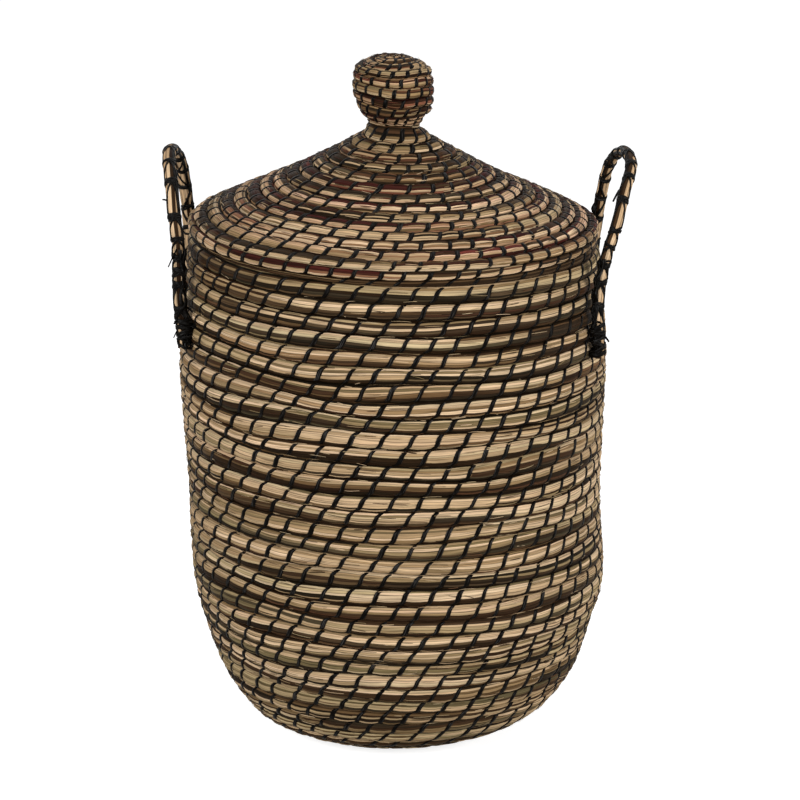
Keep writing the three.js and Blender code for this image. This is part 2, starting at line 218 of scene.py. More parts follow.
def under_line(line, s, depth):
    """Point at arc length s less depth times the outward normal, which is the chord over REACH either way,
    turned a quarter turn."""
    along = unit(on_line(line, s + REACH) - on_line(line, s - REACH))
    normal = line["side"] * np.stack([along[..., 1], -along[..., 0]], axis=-1)
    return on_line(line, s) - np.asarray(depth)[..., None] * normal


# %% Coils
SQUARENESS = 2 / 2.7
ROW_THICKNESS = 12.8


def coil(body, line, start, sense, pitch, thickness, groove, blades, dye=0.05):
    """Coil of a body that leaves the line's arc length start and climbs one pitch per turn; sense 1 winds clockwise.
    blades is the shortest and the longest blade of grass in it, and dye the least darkness of its dyed blades."""
    return {"body": body, "line": line, "start": start, "sense": sense, "pitch": pitch, "thickness": thickness,
            "groove": groove, "blades": blades, "dye": dye, "turns": (line["total"] - start) / pitch}


def groove_at(c, turn):
    """Arc length of the groove under the row that passes at a turn."""
    return np.clip(c["start"] + c["pitch"] * turn, c["start"], c["line"]["total"])


def crest_at(c, turn):
    """(radius, height) of the row's crest at a turn."""
    return on_line(c["line"], (groove_at(c, turn) + groove_at(c, turn + 1)) / 2)


def signed_power(value, power):
    """|value|^power with the sign of value."""
    return np.sign(value) * np.abs(value) ** power


def row_points(c, turn, angle, lift=0.0, lean=0.0):
    """Point of a row. Its section is a rounded box: across = |sin|^q with the sine's sign, out = |cos|^q with the
    cosine's. Angle 0 is the crest and a quarter turn is the groove further along the meridian. Lift moves the point
    off the skin along the section's normal, and lean slides it back along the row by half of lean times the sine."""
    sine, cosine = np.sin(angle), np.cos(angle)
    across, out = signed_power(sine, SQUARENESS), signed_power(cosine, SQUARENESS)
    n_across = signed_power(sine, 2 - SQUARENESS) / c["pitch"]
    n_out = signed_power(cosine, 2 - SQUARENESS) / c["thickness"]
    size = np.hypot(n_across, n_out)
    radius = np.maximum(crest_at(c, turn)[..., 0], c["pitch"] / 2)
    turn = turn - lean * sine / (4 * np.pi * radius)
    low, high = groove_at(c, turn), groove_at(c, turn + 1)
    full = (high - low) / c["pitch"]
    s = (low + high) / 2 + (high - low) / 2 * across + full * lift * n_across / size
    half = c["thickness"] / 2
    depth = half - (half - c["groove"] * (1 - full)) * out - lift * n_out / size
    place = under_line(c["line"], s, depth)
    a = 2 * np.pi * turn * c["sense"]
    return np.stack([-place[..., 0] * np.sin(a), -place[..., 0] * np.cos(a), place[..., 1]], axis=-1)


# %% [markdown]
# ## Made by hand
# No hand-wound basket is true. This one leans a little to the right below its waist, its mouth and lid sit higher
# on the left, and its rows bulge here and there. One function bends every finished point in the same way,
# so pieces that touch go on touching.

# %% Hand-made shape
LEAN_HEIGHTS = [0, 30, 118, 147, 177, 206, 265, 354, 420, 480]
LEAN_OFFSETS = [2.8, 4.2, 3.2, 3.6, 2.4, 0.6, -0.8, -1.6, -0.6, 0]
TILT = math.tan(math.radians(0.9))
LID_LIFT = 0.008
TILT_FROM = (40, 150)
WAVES = [
    (0.031, 0.012, 0.043, 0.3), (-0.017, 0.036, 0.027, 1.9),
    (0.044, -0.029, 0.051, 4.1), (0.012, 0.051, -0.038, 2.6),
]
WAVE_HEIGHT, WAVES_FROM, WAVES_RADIUS = 0.32, (5, 40), 60
ROW_WAVES = [(0.021, 0.006, 0.135, 1.0), (-0.019, 0.015, -0.087, 2.2), (0.034, -0.012, 0.061, 0.4)]
ROW_WAVE_HEIGHT, ROW_WAVES_FROM, ROW_WAVES_TO = 0.65, (20, 60), (400, 460)
KNOB_WAVES = [(0, 0.05, 0.13, 0), (-0.06, 0, 0.11, 1), (0.09, 0.07, 0, 0.8)]
KNOB_WAVE_HEIGHT, KNOB_WAVES_FROM = 0.9, (580, 600)
KNOB_SHOULDER, KNOB_SHOULDER_HEIGHT, KNOB_SHOULDER_WIDTH = 0.085, 639, 7
KNOB_PRESSED, KNOB_PRESSED_FROM = 2.4, (590, 645)
KNOB_NOD, KNOB_NOD_FROM = 3, (618, 645)
PRESSED = 1.6


def eased(x, low, high):
    """0 below low, 1 above high, and 3t^2 - 2t^3 of the share t in between."""
    t = np.clip((x - low) / (high - low), 0, 1)
    return t * t * (3 - 2 * t)


def faded(x, low, high):
    """1 below low and 0 above high, eased in between."""
    return eased(-x, -high, -low)


def wave_sum(points, waves):
    """Sum of sin(a x + b y + c z + d) over waves (a, b, c, d)."""
    x, y, z = points[..., 0], points[..., 1], points[..., 2]
    return sum(np.sin(a * x + b * y + c * z + d) for a, b, c, d in waves)


def by_hand(points, lid):
    """Adds the lean, read from a table of heights; the tilt, which lifts by the distance left of the axis; slow
    swellings, a sum of sines of the position, pushed out from the axis; and a like sum that makes some rows wider and
    others narrower. The lid is lifted on the left once more, and its knob gets a shoulder by a bell curve of the
    height, a top pressed down and moved to the left, and waves of its own along each axis. What is lower than PRESSED
    is pressed flat on the floor: z becomes PRESSED e^(z / PRESSED - 1)."""
    x, y, z = points[..., 0], points[..., 1], points[..., 2]
    radius = np.maximum(np.hypot(x, y), 1)
    above = eased(z, *WAVES_FROM)
    push = above * (wave_sum(points, WAVES) * WAVE_HEIGHT) / radius * np.clip(radius / WAVES_RADIUS, 0, 1)
    moved = np.stack([x * (1 + push), y * (1 + push), z], axis=-1)
    moved[..., 0] += np.interp(z, LEAN_HEIGHTS, LEAN_OFFSETS) * above
    rows = wave_sum(points, ROW_WAVES) * ROW_WAVE_HEIGHT * eased(z, *ROW_WAVES_FROM)
    moved[..., 2] += rows * faded(z, *ROW_WAVES_TO) - TILT * x * eased(z, *TILT_FROM)
    if lid:
        moved[..., 2] += LID_LIFT * np.maximum(-x, 0)
        shoulder = 1 + KNOB_SHOULDER * bell(z - KNOB_SHOULDER_HEIGHT, KNOB_SHOULDER_WIDTH)
        moved[..., :2] *= shoulder[..., None]
        moved[..., 2] -= KNOB_PRESSED * eased(z, *KNOB_PRESSED_FROM)
        moved[..., 0] -= KNOB_NOD * eased(z, *KNOB_NOD_FROM)
        for axis, wave in enumerate(KNOB_WAVES):
            moved[..., axis] += eased(z, *KNOB_WAVES_FROM) * KNOB_WAVE_HEIGHT * wave_sum(points, [wave])
    flat = PRESSED * np.exp(np.minimum(moved[..., 2] / PRESSED, 1) - 1)
    moved[..., 2] = np.where(moved[..., 2] < PRESSED, flat, moved[..., 2])
    return moved


# %% [markdown]
# ## From arrays to meshes
# A tube is a grid of rings; a stitch is a short strip with five points in its section.
# The same builder takes both: it fills the mesh with whole arrays, turns it the right way out by the sign of its
# volume, and writes two UV maps. One runs along the grass, the other holds each strand's own tone.


# %% Mesh builder
def volume(points, faces):
    """Six times the signed volume: the sum over a face's fan of triangles of a . (b x c)."""
    total = 0
    for k in range(1, faces.shape[1] - 1):
        a, b, c = (points[faces[:, i]] for i in (0, k, k + 1))
        total += np.einsum("ij,ij->", a, np.cross(b, c))
    return total


def build(name, body, material, points, face_sets, layers, replaces=()):
    """Object from points in millimetres and sets of faces with equal corner counts. layers maps a UV map's name to
    one array of corner values per face set."""
    if sum(volume(points, f) for f in face_sets) < 0:
        face_sets = [f[:, ::-1] for f in face_sets]
        layers = {key: [v[:, ::-1] for v in values] for key, values in layers.items()}
    corner = np.concatenate([f.ravel() for f in face_sets])
    sizes = np.concatenate([np.full(len(f), f.shape[1]) for f in face_sets])
    mesh = bpy.data.meshes.new(name)
    mesh.vertices.add(len(points))
    mesh.vertices.foreach_set("co", (points * MM).astype(np.float32).ravel())
    mesh.loops.add(len(corner))
    mesh.loops.foreach_set("vertex_index", corner.astype(np.int32))
    mesh.polygons.add(len(sizes))
    mesh.polygons.foreach_set("loop_start", (np.cumsum(sizes) - sizes).astype(np.int32))
    mesh.polygons.foreach_set("use_smooth", np.ones(len(sizes), bool))
    for key, values in layers.items():
        layer = mesh.uv_layers.new(name=key)
        flat = np.concatenate([np.asarray(v, float).reshape(-1, 2) for v in values])
        layer.uv.foreach_set("vector", flat.astype(np.float32).ravel())
    mesh.update(calc_edges=True)
    mesh.validate()
    mesh.materials.append(material)
    made = bpy.data.objects.new(name, mesh)
    bpy.context.collection.objects.link(made)
    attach(made, body)
    if replaces:
        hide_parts(*replaces)
    print(f"{name}: {int((sizes - 2).sum())} triangles")


def ring_grid(rings, around):
    """Faces of a grid of rings: corners (i, j), (i, j+1), (i+1, j+1), (i+1, j), with j wrapping round."""
    i = np.arange(rings - 1)[:, None] * around
    j = np.arange(around)[None, :]
    k = (j + 1) % around
    return np.stack([i + j, i + k, i + around + k, i + around + j], axis=-1).reshape(-1, 4)


# %% [markdown]
# ## The grass bundle
# A bundle is some fourteen blades side by side. Each blade is a ridge with a narrow valley on either side, so the
# tube's rings put one point in every valley and two on every ridge, and the mesh lines follow the blades.
# Where the sewing strip passes, the bundle is pulled in, and between two stitches it swells like a small pillow.

# %% Blades
BLADES = 14
BLADE_POINTS = (0.0, 0.28, 0.72)
CROWDING = 0.35
VALLEY = 0.5
CINCH = 1.2
CINCH_WIDTH = 0.13
PILLOW = 0.5
NARROWING, NARROWING_POWER = 0.4, 3
CLOSED, CLOSED_POWER = 0.35, 8
CELL = (0.0, 0.1, 0.36, 0.64, 0.9)
CLOSE_RADII = (27, 50)
CLOSE_SHARE = 0.58
LONG_CELL = 22
LEAST_FULLNESS = 0.3
STITCH_GROUP = 4
STITCH_JITTER = 0.1
DRIFT_WAVES = ((0.45, 71, 0), (0.3, 29, 2))
OWN_DRIFT, OWN_DRIFT_WAVE = 0.16, 53
RIDGE, RIDGE_WAVE = 0.22, 37


def slow(length, waves, start=0.0):
    """start plus the sum of a sin(length / w + p) over waves (a, w, p)."""
    return sum((a * np.sin(length / w + p) for a, w, p in waves), start)


def sew(c, spacing, chain, lean, seed):
    """Gives a coil its stitches: the turns where the strip crosses the row, and how far it leans there. Each turn
    holds a multiple of STITCH_GROUP stitches that follows its length, and a share of a stitch more, chain, which sets
    how far the chain of stitches leans from row to row."""
    turn = np.arange(-1, math.ceil(c["turns"]) + 1)
    radius = crest_at(c, turn + 0.5)[..., 0]
    count = 2 * np.pi * radius / (spacing * np.interp(radius, CLOSE_RADII, (CLOSE_SHARE, 1)))
    count = np.maximum(STITCH_GROUP * np.round(count / STITCH_GROUP), STITCH_GROUP) + chain
    phase = np.append(0, np.cumsum(count))
    nodes = np.append(turn, turn[-1] + 1)
    k = np.arange(int(phase[-1]))
    k = k + np.random.default_rng(seed).uniform(-STITCH_JITTER, STITCH_JITTER, len(k))
    c["stitches"], c["lean"] = np.interp(k, phase, nodes), lean


def run_length(c, turn):
    """Millimetres of bundle from the first turn: the integral of 2 pi times the radius."""
    nodes = np.linspace(-1, c["turns"] + 1, 4000)
    radius = crest_at(c, nodes)[..., 0]
    total = np.append(0, np.cumsum((radius[1:] + radius[:-1]) * np.pi * np.diff(nodes)))
    return np.interp(turn, nodes, total)


def blade_spots(blades):
    """Blade coordinate of every point of a ring: the blade's number plus BLADE_POINTS."""
    return (np.arange(blades)[:, None] + np.array(BLADE_POINTS)[None, :]).ravel()


def crowded(spot):
    """Angle of a blade coordinate. The blades crowd towards the crest: angle = t - CROWDING sin t."""
    t = 2 * np.pi * (spot / BLADES - 0.5)
    return t - CROWDING * np.sin(t)


def blade_angles(length, spot):
    """Angle of every ring point. The blades drift a little along the row by two slow sines, and each by its own."""
    drift = slow(length, DRIFT_WAVES)
    own_drift = slow(length[:, None], [(OWN_DRIFT, OWN_DRIFT_WAVE, 2.4 * np.round(spot) ** 1.5)])
    return crowded(spot[None, :] + drift[:, None] + own_drift)


def bundle_rings(c, first, last):
    """Points of a bundle from one turn to another, ring by ring, with the lift of each: valleys down, ridges up by
    the blade's own slow sine, everything down by a bell curve round each stitch and up by a half sine between two.
    Where stitches stand closer than LONG_CELL, all of it is smaller. In the groove itself neighbouring rows are
    pressed into each other by CLOSED, so that no light comes through."""
    stitches, share = c["stitches"], np.array(CELL)[None, :]
    turn = (stitches[:-1, None] + share * np.diff(stitches)[:, None]).ravel()
    turn = np.concatenate([[first], turn[(turn > first) & (turn < last)], [last]])
    phase = np.interp(turn, stitches, np.arange(len(stitches))) % 1
    length, spot = run_length(c, turn), blade_spots(BLADES)
    angle, blade = blade_angles(length, spot), np.floor(spot)
    valley = (spot % 1 == 0).astype(float)
    cinch = bell(np.minimum(phase, 1 - phase), CINCH_WIDTH)[:, None]
    ridge = slow(length[:, None], [(RIDGE, RIDGE_WAVE, 2.1 * blade**1.3)])
    lift = -VALLEY * (1 - 0.5 * cinch) * valley + ridge * (1 - valley)
    lift = lift - CINCH * cinch + PILLOW * np.sin(np.pi * phase)[:, None]
    lift = lift - NARROWING * np.abs(np.sin(angle)) ** NARROWING_POWER
    cell = np.gradient(run_length(c, stitches))
    fullness = np.clip(np.interp(turn, stitches, cell) / LONG_CELL, LEAST_FULLNESS, 1)[:, None]
    groove = np.abs(np.sin(angle)) ** CLOSED_POWER
    lift = lift * fullness * (1 - groove) + CLOSED * groove
    return row_points(c, turn[:, None], angle, lift, c["lean"]), turn, length, spot


# %% [markdown]
# ## The colours of the blades
# In each row of the wall the upper blades are pale straw and the lower ones dark brown, because the maker laid a few
# dyed blades under the straw. Near the foot they are mixed. On the lid the dark blades lie on the upper side.
# Each blade gets its tone from a table. On the wall a blade gives way to the next after 9 to 38 centimetres, on the
# lid and the knob sooner.

# %% Blade tones
LIGHT_END = 0.45
# Blades next to the grooves between rows are dark more often, and darker: painted shade of the grooves.
SHADED_EDGE = 0.88
SHADED_EDGE_LOW, SHADED_EDGE_HIGH = 0.9, 0.55
MIXED_TONE, MIXED_FROM = 0.18, (0.06, 0.5)
MOST_DARK, EDGE_SHADE_DARK, VIVID_DARK = 0.8, 0.3, -0.15
HUE_SPREAD, MOST_HUE = 0.7, 1.5
VIVID_HUES = (1.2, 1.35)


def below(across, border, sharpness):
    """Share that falls from 1 to 0 where across passes a border: 1 / (1 + e^((across - border) sharpness))."""
    return 1 / (1 + np.exp((across - border) * sharpness))


def blade_tones(rng, c, turn, length, plan):
    """(tone, hue) of every blade at every ring. A blade is dark where its random number is under the plan's
    probability at its place, and most next to the grooves are black, which is painted shade of the grooves; tones
    under LIGHT_END are straw, a little deeper where dark blades are likely, and those above are brown to black, a
    little paler where they are dyed red, with a hue above one. Turn and length are those of the stitch before, so
    that a blade changes only under a stitch."""
    angle = crowded(np.arange(BLADES) + 0.5)
    across = signed_power(np.sin(angle), SQUARENESS)
    reach = rng.uniform(*c["blades"], BLADES)
    offset = rng.uniform(0, 1, BLADES)
    piece = np.floor(length[:, None] / reach + offset).astype(int)
    piece = piece - piece.min()
    table = rng.uniform(0, 1, (3, piece.max() + 1, BLADES))
    draw, shade, tint = (layer[piece, np.arange(BLADES)[None, :]] for layer in table)
    chance, hue = plan(c, turn[:, None], length[:, None], across[None, :], np.cos(angle)[None, :])
    # Painted groove shade: blades next to the grooves are more often dark, most of all on the lower side, and darker.
    edge = np.abs(across) > SHADED_EDGE
    beside = edge * np.where(across < 0, SHADED_EDGE_LOW, SHADED_EDGE_HIGH)
    dark = draw < np.maximum(chance, beside[None, :])
    light_tone = LIGHT_END * shade**1.2 + MIXED_TONE * eased(chance, *MIXED_FROM)
    darkness = c["dye"] + (MOST_DARK - c["dye"]) * shade + EDGE_SHADE_DARK * edge + VIVID_DARK * eased(hue, *VIVID_HUES)
    dark_tone = LIGHT_END + (1 - LIGHT_END) * darkness
    tone = np.where(dark, dark_tone, light_tone)
    return np.stack([tone, np.clip(hue + HUE_SPREAD * (tint - 0.5), 0, MOST_HUE)], axis=-1)


def tube(name, body, material, points, length, spot, tones, replaces=()):
    """Closed tube from rings of points, its ends closed by fans, with the maps strands (metres along, blade number)
    and tone. tones holds a pair of values for each ring and blade."""
    rings, around = points.shape[:2]
    edge = np.append(spot, np.ceil(spot[-1]))
    v0, v1 = edge[:-1], edge[1:]
    u = length * MM
    strands = np.zeros((rings - 1, around, 4, 2))
    strands[..., 0] = np.stack([u[:-1], u[:-1], u[1:], u[1:]], axis=-1)[:, None, :]
    strands[..., 1] = np.stack([v0, v1, v1, v0], axis=-1)[None, :, :]
    blade = np.floor(spot).astype(int)
    near, far = tones[:-1][:, blade], tones[1:][:, blade]
    tone = np.stack([near, near, far, far], axis=2)
    flat = np.concatenate([points.reshape(-1, 3), points[0].mean(0)[None], points[-1].mean(0)[None]])
    j = np.arange(around)
    k = (j + 1) % around
    base = (rings - 1) * around
    caps = [np.stack([k, j, np.full(around, rings * around)], axis=-1)]
    caps.append(np.stack([base + j, base + k, np.full(around, rings * around + 1)], axis=-1))
    cap_map = np.zeros((2 * around, 3, 2))
    cap_map[..., 1] = np.tile(spot, 2)[:, None]
    cap_tone = np.concatenate([tones[0][blade], tones[-1][blade]])[:, None, :].repeat(3, axis=1)
    layers = {"strands": [strands.reshape(-1, 4, 2), cap_map], "tone": [tone.reshape(-1, 4, 2), cap_tone]}
    faces = [ring_grid(rings, around), np.concatenate(caps)]
    build(name, body, material, flat, faces, layers, replaces)


def bundle(name, slot, c, first, last, plan, seed, replaces):
    """Grass bundle of a coil between two turns."""
    points, turn, length, spot = bundle_rings(c, first, last)
    before = np.searchsorted(c["stitches"], turn + 1e-6, side="right") - 1
    cell = c["stitches"][np.clip(before, 0, len(c["stitches"]) - 1)]
    tones = blade_tones(np.random.default_rng(seed), c, cell, run_length(c, cell), plan)
    points = by_hand(points, c["body"] == "lid")
    tube(name, c["body"], GRASS[c["body"]], points, length, spot, tones, replaces)


# %% [markdown]
# ## The sewing strip
# Each stitch is a flat black strip over one row. It comes out of the groove, leans to the right as it climbs and
# dives into the next groove. It is drawn by the same row function as the grass, so it always lies on the bundle.

# %% Stitches
STRIP_WIDTH = 4.8
STRIP_SECTION = np.array([(-0.5, -0.5), (0.5, -0.5), (0.44, 0.42), (0.0, 0.62), (-0.44, 0.42)])
STITCH_STEPS = 9
STITCH_REACH = math.radians(84)
STITCH_BED = -0.55
STITCH_HOOK = 3.4
STITCH_BOW = 0.35


def strips(name, body, material, points, seed=0, replaces=(), tones=None):
    """Strips from a grid (strip, step, section point): side faces along each strip and a face on both ends. tones
    holds a pair of values for each strip."""
    count, steps, around = points.shape[:3]
    start = np.arange(count)[:, None, None] * steps * around
    i = np.arange(steps - 1)[None, :, None]
    j = np.arange(around)[None, None, :]
    here, there = start + i * around, start + (i + 1) * around
    k = (j + 1) % around
    faces = np.stack([here + j, here + k, there + k, there + j], axis=-1).reshape(-1, 4)
    own = np.random.default_rng(seed).uniform(0, 1, count)[:, None, None]
    step_mm = np.linalg.norm(points[:, 1, 0] - points[:, 0, 0], axis=-1)[:, None, None] * MM
    u0, u1 = (i * step_mm + own * 5 + 0 * j), ((i + 1) * step_mm + own * 5 + 0 * j)
    v0, v1 = (j / around + 0 * u0), ((j + 1) / around + 0 * u0)
    strands = np.stack([np.stack([u0, u0, u1, u1], -1), np.stack([v0, v1, v1, v0], -1)], -1).reshape(-1, 4, 2)
    pair = np.repeat(own[:, 0], 2, axis=1) if tones is None else tones
    tone = np.broadcast_to(pair[:, None, None, None, :], (count, steps - 1, around, 4, 2)).reshape(-1, 4, 2)
    first = start[:, 0] + np.arange(around)[None, ::-1]
    final = start[:, 0] + (steps - 1) * around + np.arange(around)[None, :]
    ends = np.concatenate([first, final])
    end_tone = np.repeat(np.concatenate([pair, pair])[:, None, :], around, axis=1)
    layers = {"strands": [strands, np.zeros((len(ends), around, 2))], "tone": [tone, end_tone]}
    build(name, body, material, points.reshape(-1, 3), [faces, ends], layers, replaces)


def stitch_points(c, stitches, middle, rng):
    """Grid of strip points over the outer (middle 0) or inner (middle pi) side of the row at each stitch: the angle
    runs across the row, the section's width lies along it, and both ends hook into the groove by a high power of the
    sine."""
    scale = c["thickness"] / ROW_THICKNESS
    count = len(stitches)
    angle = middle + np.linspace(-STITCH_REACH, STITCH_REACH, STITCH_STEPS)[None, :, None]
    own = rng.uniform(0.8, 1.15, count)[:, None, None]
    width = STRIP_WIDTH * (0.5 + 0.5 * scale) * own * STRIP_SECTION[None, None, :, 0]
    slant = c["lean"] * rng.uniform(0.8, 1.2, count)[:, None, None]
    radius = np.maximum(crest_at(c, stitches)[..., 0], c["pitch"] / 2)[:, None, None]
    bow = rng.normal(0, STITCH_BOW, count)[:, None, None] * np.cos(angle)
    hook = -STITCH_HOOK * scale * np.sin(angle) ** 5
    turn = stitches[:, None, None] + (width + bow + hook) / (2 * np.pi * radius)
    lift = scale * (STITCH_BED + STRIP_SECTION[None, None, :, 1] + 0 * turn)
    return row_points(c, turn, angle + 0 * turn, lift, slant)


def stitching(name, c, first, last, seed):
    """All stitches of a coil between two turns, outside and inside, as one piece."""
    rng = np.random.default_rng(seed)
    chosen = c["stitches"][(c["stitches"] > first) & (c["stitches"] < last)]
    grids = [stitch_points(c, chosen, middle, rng) for middle in (0.0, math.pi)]
    points = by_hand(np.concatenate(grids), c["body"] == "lid")
    strips(name, c["body"], STRIP, points, seed)


# %% [markdown]
# ## Dry grass and black strip
# Dry grass is matte with a satin streak along each blade. The colour comes from the tone map through a ramp, and fine
# fibres from noise that is stretched along the blade. Valleys between blades are darkened with painted shade.
# The strip is a dyed leaf: near black, smoother, with a faint grain along it and thin pale streaks that are painted
# glints.


# %% Grass material
GRASS_STOPS = [
    (0.0, (0.73, 0.52, 0.325)), (0.2, (0.53, 0.362, 0.202)), (0.4, (0.28, 0.18, 0.083)), (0.5, (0.135, 0.078, 0.034)),
    (0.62, (0.053, 0.027, 0.0125)), (0.8, (0.024, 0.012, 0.005)), (1.0, (0.010, 0.005, 0.002)),
]
KHAKI, RUDDY, INKY = (0.72, 0.80, 0.62, 1), (1.22, 0.40, 0.70, 1), (0.7, 0.9, 1.18, 1)
# The grey is that of painted glints along the black strip.
LEAF_BLACK, GLINT_GREY = (0.0025, 0.0018, 0.0012, 1), (0.04, 0.038, 0.036, 1)


def finish_material(tree, color, roughness, height, strength, distance, specular, tint):
    """Principled shader over a bump map of a height, and the material's output."""
    raised = node(tree, "ShaderNodeBump", {"Strength": strength, "Distance": distance, "Height": height})
    inputs = {"Base Color": color, "Roughness": roughness, "Normal": raised.outputs[0]}
    inputs["Specular IOR Level"], inputs["Specular Tint"] = specular, tint
    skin = node(tree, "ShaderNodeBsdfPrincipled", inputs)
    node(tree, "ShaderNodeOutputMaterial", {"Surface": skin.outputs[0]})


def grass_material(name, warm):
    """Grass: ramp of the blade's tone, shifted by its hue to khaki, red or, where it is dyed, ink; times fibre
    streaks, darker in cracks, and with painted shade in the valleys between blades. warm is how far a high hue goes
    to red."""
    material, tree = new_material(name)
    uv = node(tree, "ShaderNodeUVMap", uv_map="strands")
    own = node(tree, "ShaderNodeUVMap", uv_map="tone")
    along, across = node(tree, "ShaderNodeSeparateXYZ", {0: uv.outputs[0]}).outputs[:2]
    tone, hue = node(tree, "ShaderNodeSeparateXYZ", {0: own.outputs[0]}).outputs[:2]

    def fibres(scale_along, scale_across, detail):
        """Noise read at (along, across) times two scales."""
        a, b = maths(tree, "MULTIPLY", along, scale_along), maths(tree, "MULTIPLY", across, scale_across)
        where = node(tree, "ShaderNodeCombineXYZ", {0: a, 1: b}).outputs[0]
        inputs = {"Vector": where, "Scale": 1.0, "Detail": detail, "Roughness": 0.6}
        return node(tree, "ShaderNodeTexNoise", inputs).outputs[0]

    fine, broad, stain, cracks = fibres(28, 7, 3), fibres(9, 2.3, 2), fibres(3.1, 0.35, 1), fibres(11, 3.1, 1)
    stained = maths(tree, "ADD", tone, maths(tree, "MULTIPLY_ADD", stain, 0.22, -0.11))
    ramp = node(tree, "ShaderNodeValToRGB", {0: stained})
    while len(ramp.color_ramp.elements) < len(GRASS_STOPS):
        ramp.color_ramp.elements.new(0.5)
    for element, (place, stop) in zip(ramp.color_ramp.elements, GRASS_STOPS):
        element.position = place
        element.color = (*stop, 1)
    dyed = ranged(tree, tone, 0.35, 0.55, 0.15, 1)
    vivid = ranged(tree, hue, *VIVID_HUES, 0, 1)
    green = ranged(tree, hue, 0.35, 0, 0, 0.55)
    red = maths(tree, "MAXIMUM", maths(tree, "MULTIPLY", ranged(tree, hue, 0.6, 1, 0, warm), dyed), vivid)
    cool = maths(tree, "MULTIPLY", ranged(tree, hue, 0.5, 0.15, 0, 1), dyed)
    color = ramp.outputs[0]
    for share, tint in ((green, KHAKI), (red, RUDDY), (cool, INKY)):
        color = blended(tree, share, color, tint, "MULTIPLY")
    shade = ranged(tree, fine, 0.34, 0.66, 0.62, 1.22)
    # Painted shade in the valleys between blades, darkest on the valley line.
    shade_from_valley = maths(tree, "PINGPONG", across, 0.5)
    for facts in ((broad, 0.34, 0.66, 0.72, 1.14), (cracks, 0.60, 0.67, 1, 0.3), (shade_from_valley, 0, 0.13, 0.3, 1)):
        shade = maths(tree, "MULTIPLY", shade, ranged(tree, *facts))
    color = node(tree, "ShaderNodeVectorMath", {0: color, 3: shade}, operation="SCALE").outputs[0]
    roughness = ranged(tree, fine, 0.3, 0.7, 0.62, 0.46)
    height = maths(tree, "ADD", fine, broad)
    finish_material(tree, color, roughness, height, strength=0.5, distance=0.0004, specular=0.06,
                    tint=(1, 0.84, 0.62, 1))
    return material


def strip_material():
    """Black strip: near black, with thin paler streaks along it, painted glints, where noise stretched along the leaf
    is high.
    """
    material, tree = new_material("black_strip")
    uv = node(tree, "ShaderNodeUVMap", uv_map="strands")
    stretch = node(tree, "ShaderNodeVectorMath", {0: uv.outputs[0], 1: (90, 14, 1)}, operation="MULTIPLY")
    noise = node(tree, "ShaderNodeTexNoise", {"Vector": stretch.outputs[0], "Scale": 1.0, "Detail": 2.0}).outputs[0]
    # Paler streaks along the strip: painted glints.
    painted_glints = ranged(tree, noise, 0.56, 0.66, 0, 1)
    color = blended(tree, painted_glints, LEAF_BLACK, GLINT_GREY)
    finish_material(tree, color, 0.29, noise, strength=0.4, distance=0.0003, specular=0.036,
                    tint=(0.87, 0.94, 1, 1))
    return material


GRASS = {"basket": grass_material("wall_grass", warm=0.35), "lid": grass_material("lid_grass", warm=0.95)}
HANDLE_GRASS = grass_material("handle_grass", warm=0.5)
STRIP = strip_material()

# %% [markdown]
# ## The basket's wall
# The coil starts in the middle of the base, turns up at the heel and climbs to the mouth, where the last turn thins
# out so that the mouth is level. It is made in the same lengths as the solids, and each length replaces its solid.

# %% Basket coil
BASE_RADIUS = 96
BELLY_RADIUS = 200
MOUTH_RADIUS, MOUTH_HEIGHT = 191, 478
WALL_BLADES = (90, 380)
SPLICE_HEIGHTS = (52, 185, 325)
RIM_TURNS = 1.3
TAPER_END = 0.15
END_TURNS = 0.3
wall_points = [
    (BASE_RADIUS, 0), (140, 21), (165.5, 54), (182.5, 97), (194.5, 145),
    (195.5, 239), (BELLY_RADIUS, 352), (197.2, 412), (MOUTH_RADIUS, MOUTH_HEIGHT - 4),
]
basket_line = meridian([(0, 0), *smooth(wall_points), (MOUTH_RADIUS, MOUTH_HEIGHT)], 1)
BASKET = coil("basket", basket_line, start=15, sense=1, pitch=14.9, thickness=ROW_THICKNESS, groove=4.6,
              blades=WALL_BLADES)
sew(BASKET, spacing=25.2, chain=0.44, lean=7.8, seed=4)


def turn_at_height(c, height):
    """Turn at which the coil's groove passes a height."""
    points, lengths = c["line"]["points"], c["line"]["lengths"]
    i = int(np.argmax(points[:, 1] >= height))
    s = np.interp(height, points[i - 1:i + 1, 1], lengths[i - 1:i + 1])
    return (s - c["start"]) / c["pitch"]


def whole(c):
    """First and last turn of a coil: it is thin at both ends, and its grass stops TAPER_END short of them."""
    return TAPER_END - 1, c["turns"] - TAPER_END


BASKET_TURNS = BASKET["turns"]
base_turns = (BASE_RADIUS - BASKET["start"]) / BASKET["pitch"]
splices = [base_turns, *(turn_at_height(BASKET, height) for height in SPLICE_HEIGHTS), BASKET_TURNS - RIM_TURNS]
print("basket turns", round(BASKET_TURNS, 2), "splices", [round(turn, 2) for turn in splices])


INSIDE_CHANCE = 0.35
RIM_SHADE_TURNS = (1.5, 0.7)
SORTED_FROM, HIGHER_FROM = (50, 190), (360, 450)
BORDER_WAVES, BORDER_SHARPNESS = ((0.26, 410, 0), (0.2, 173, 1)), 7
HUE_WAVES = ((0.16, 520, 1.2),)


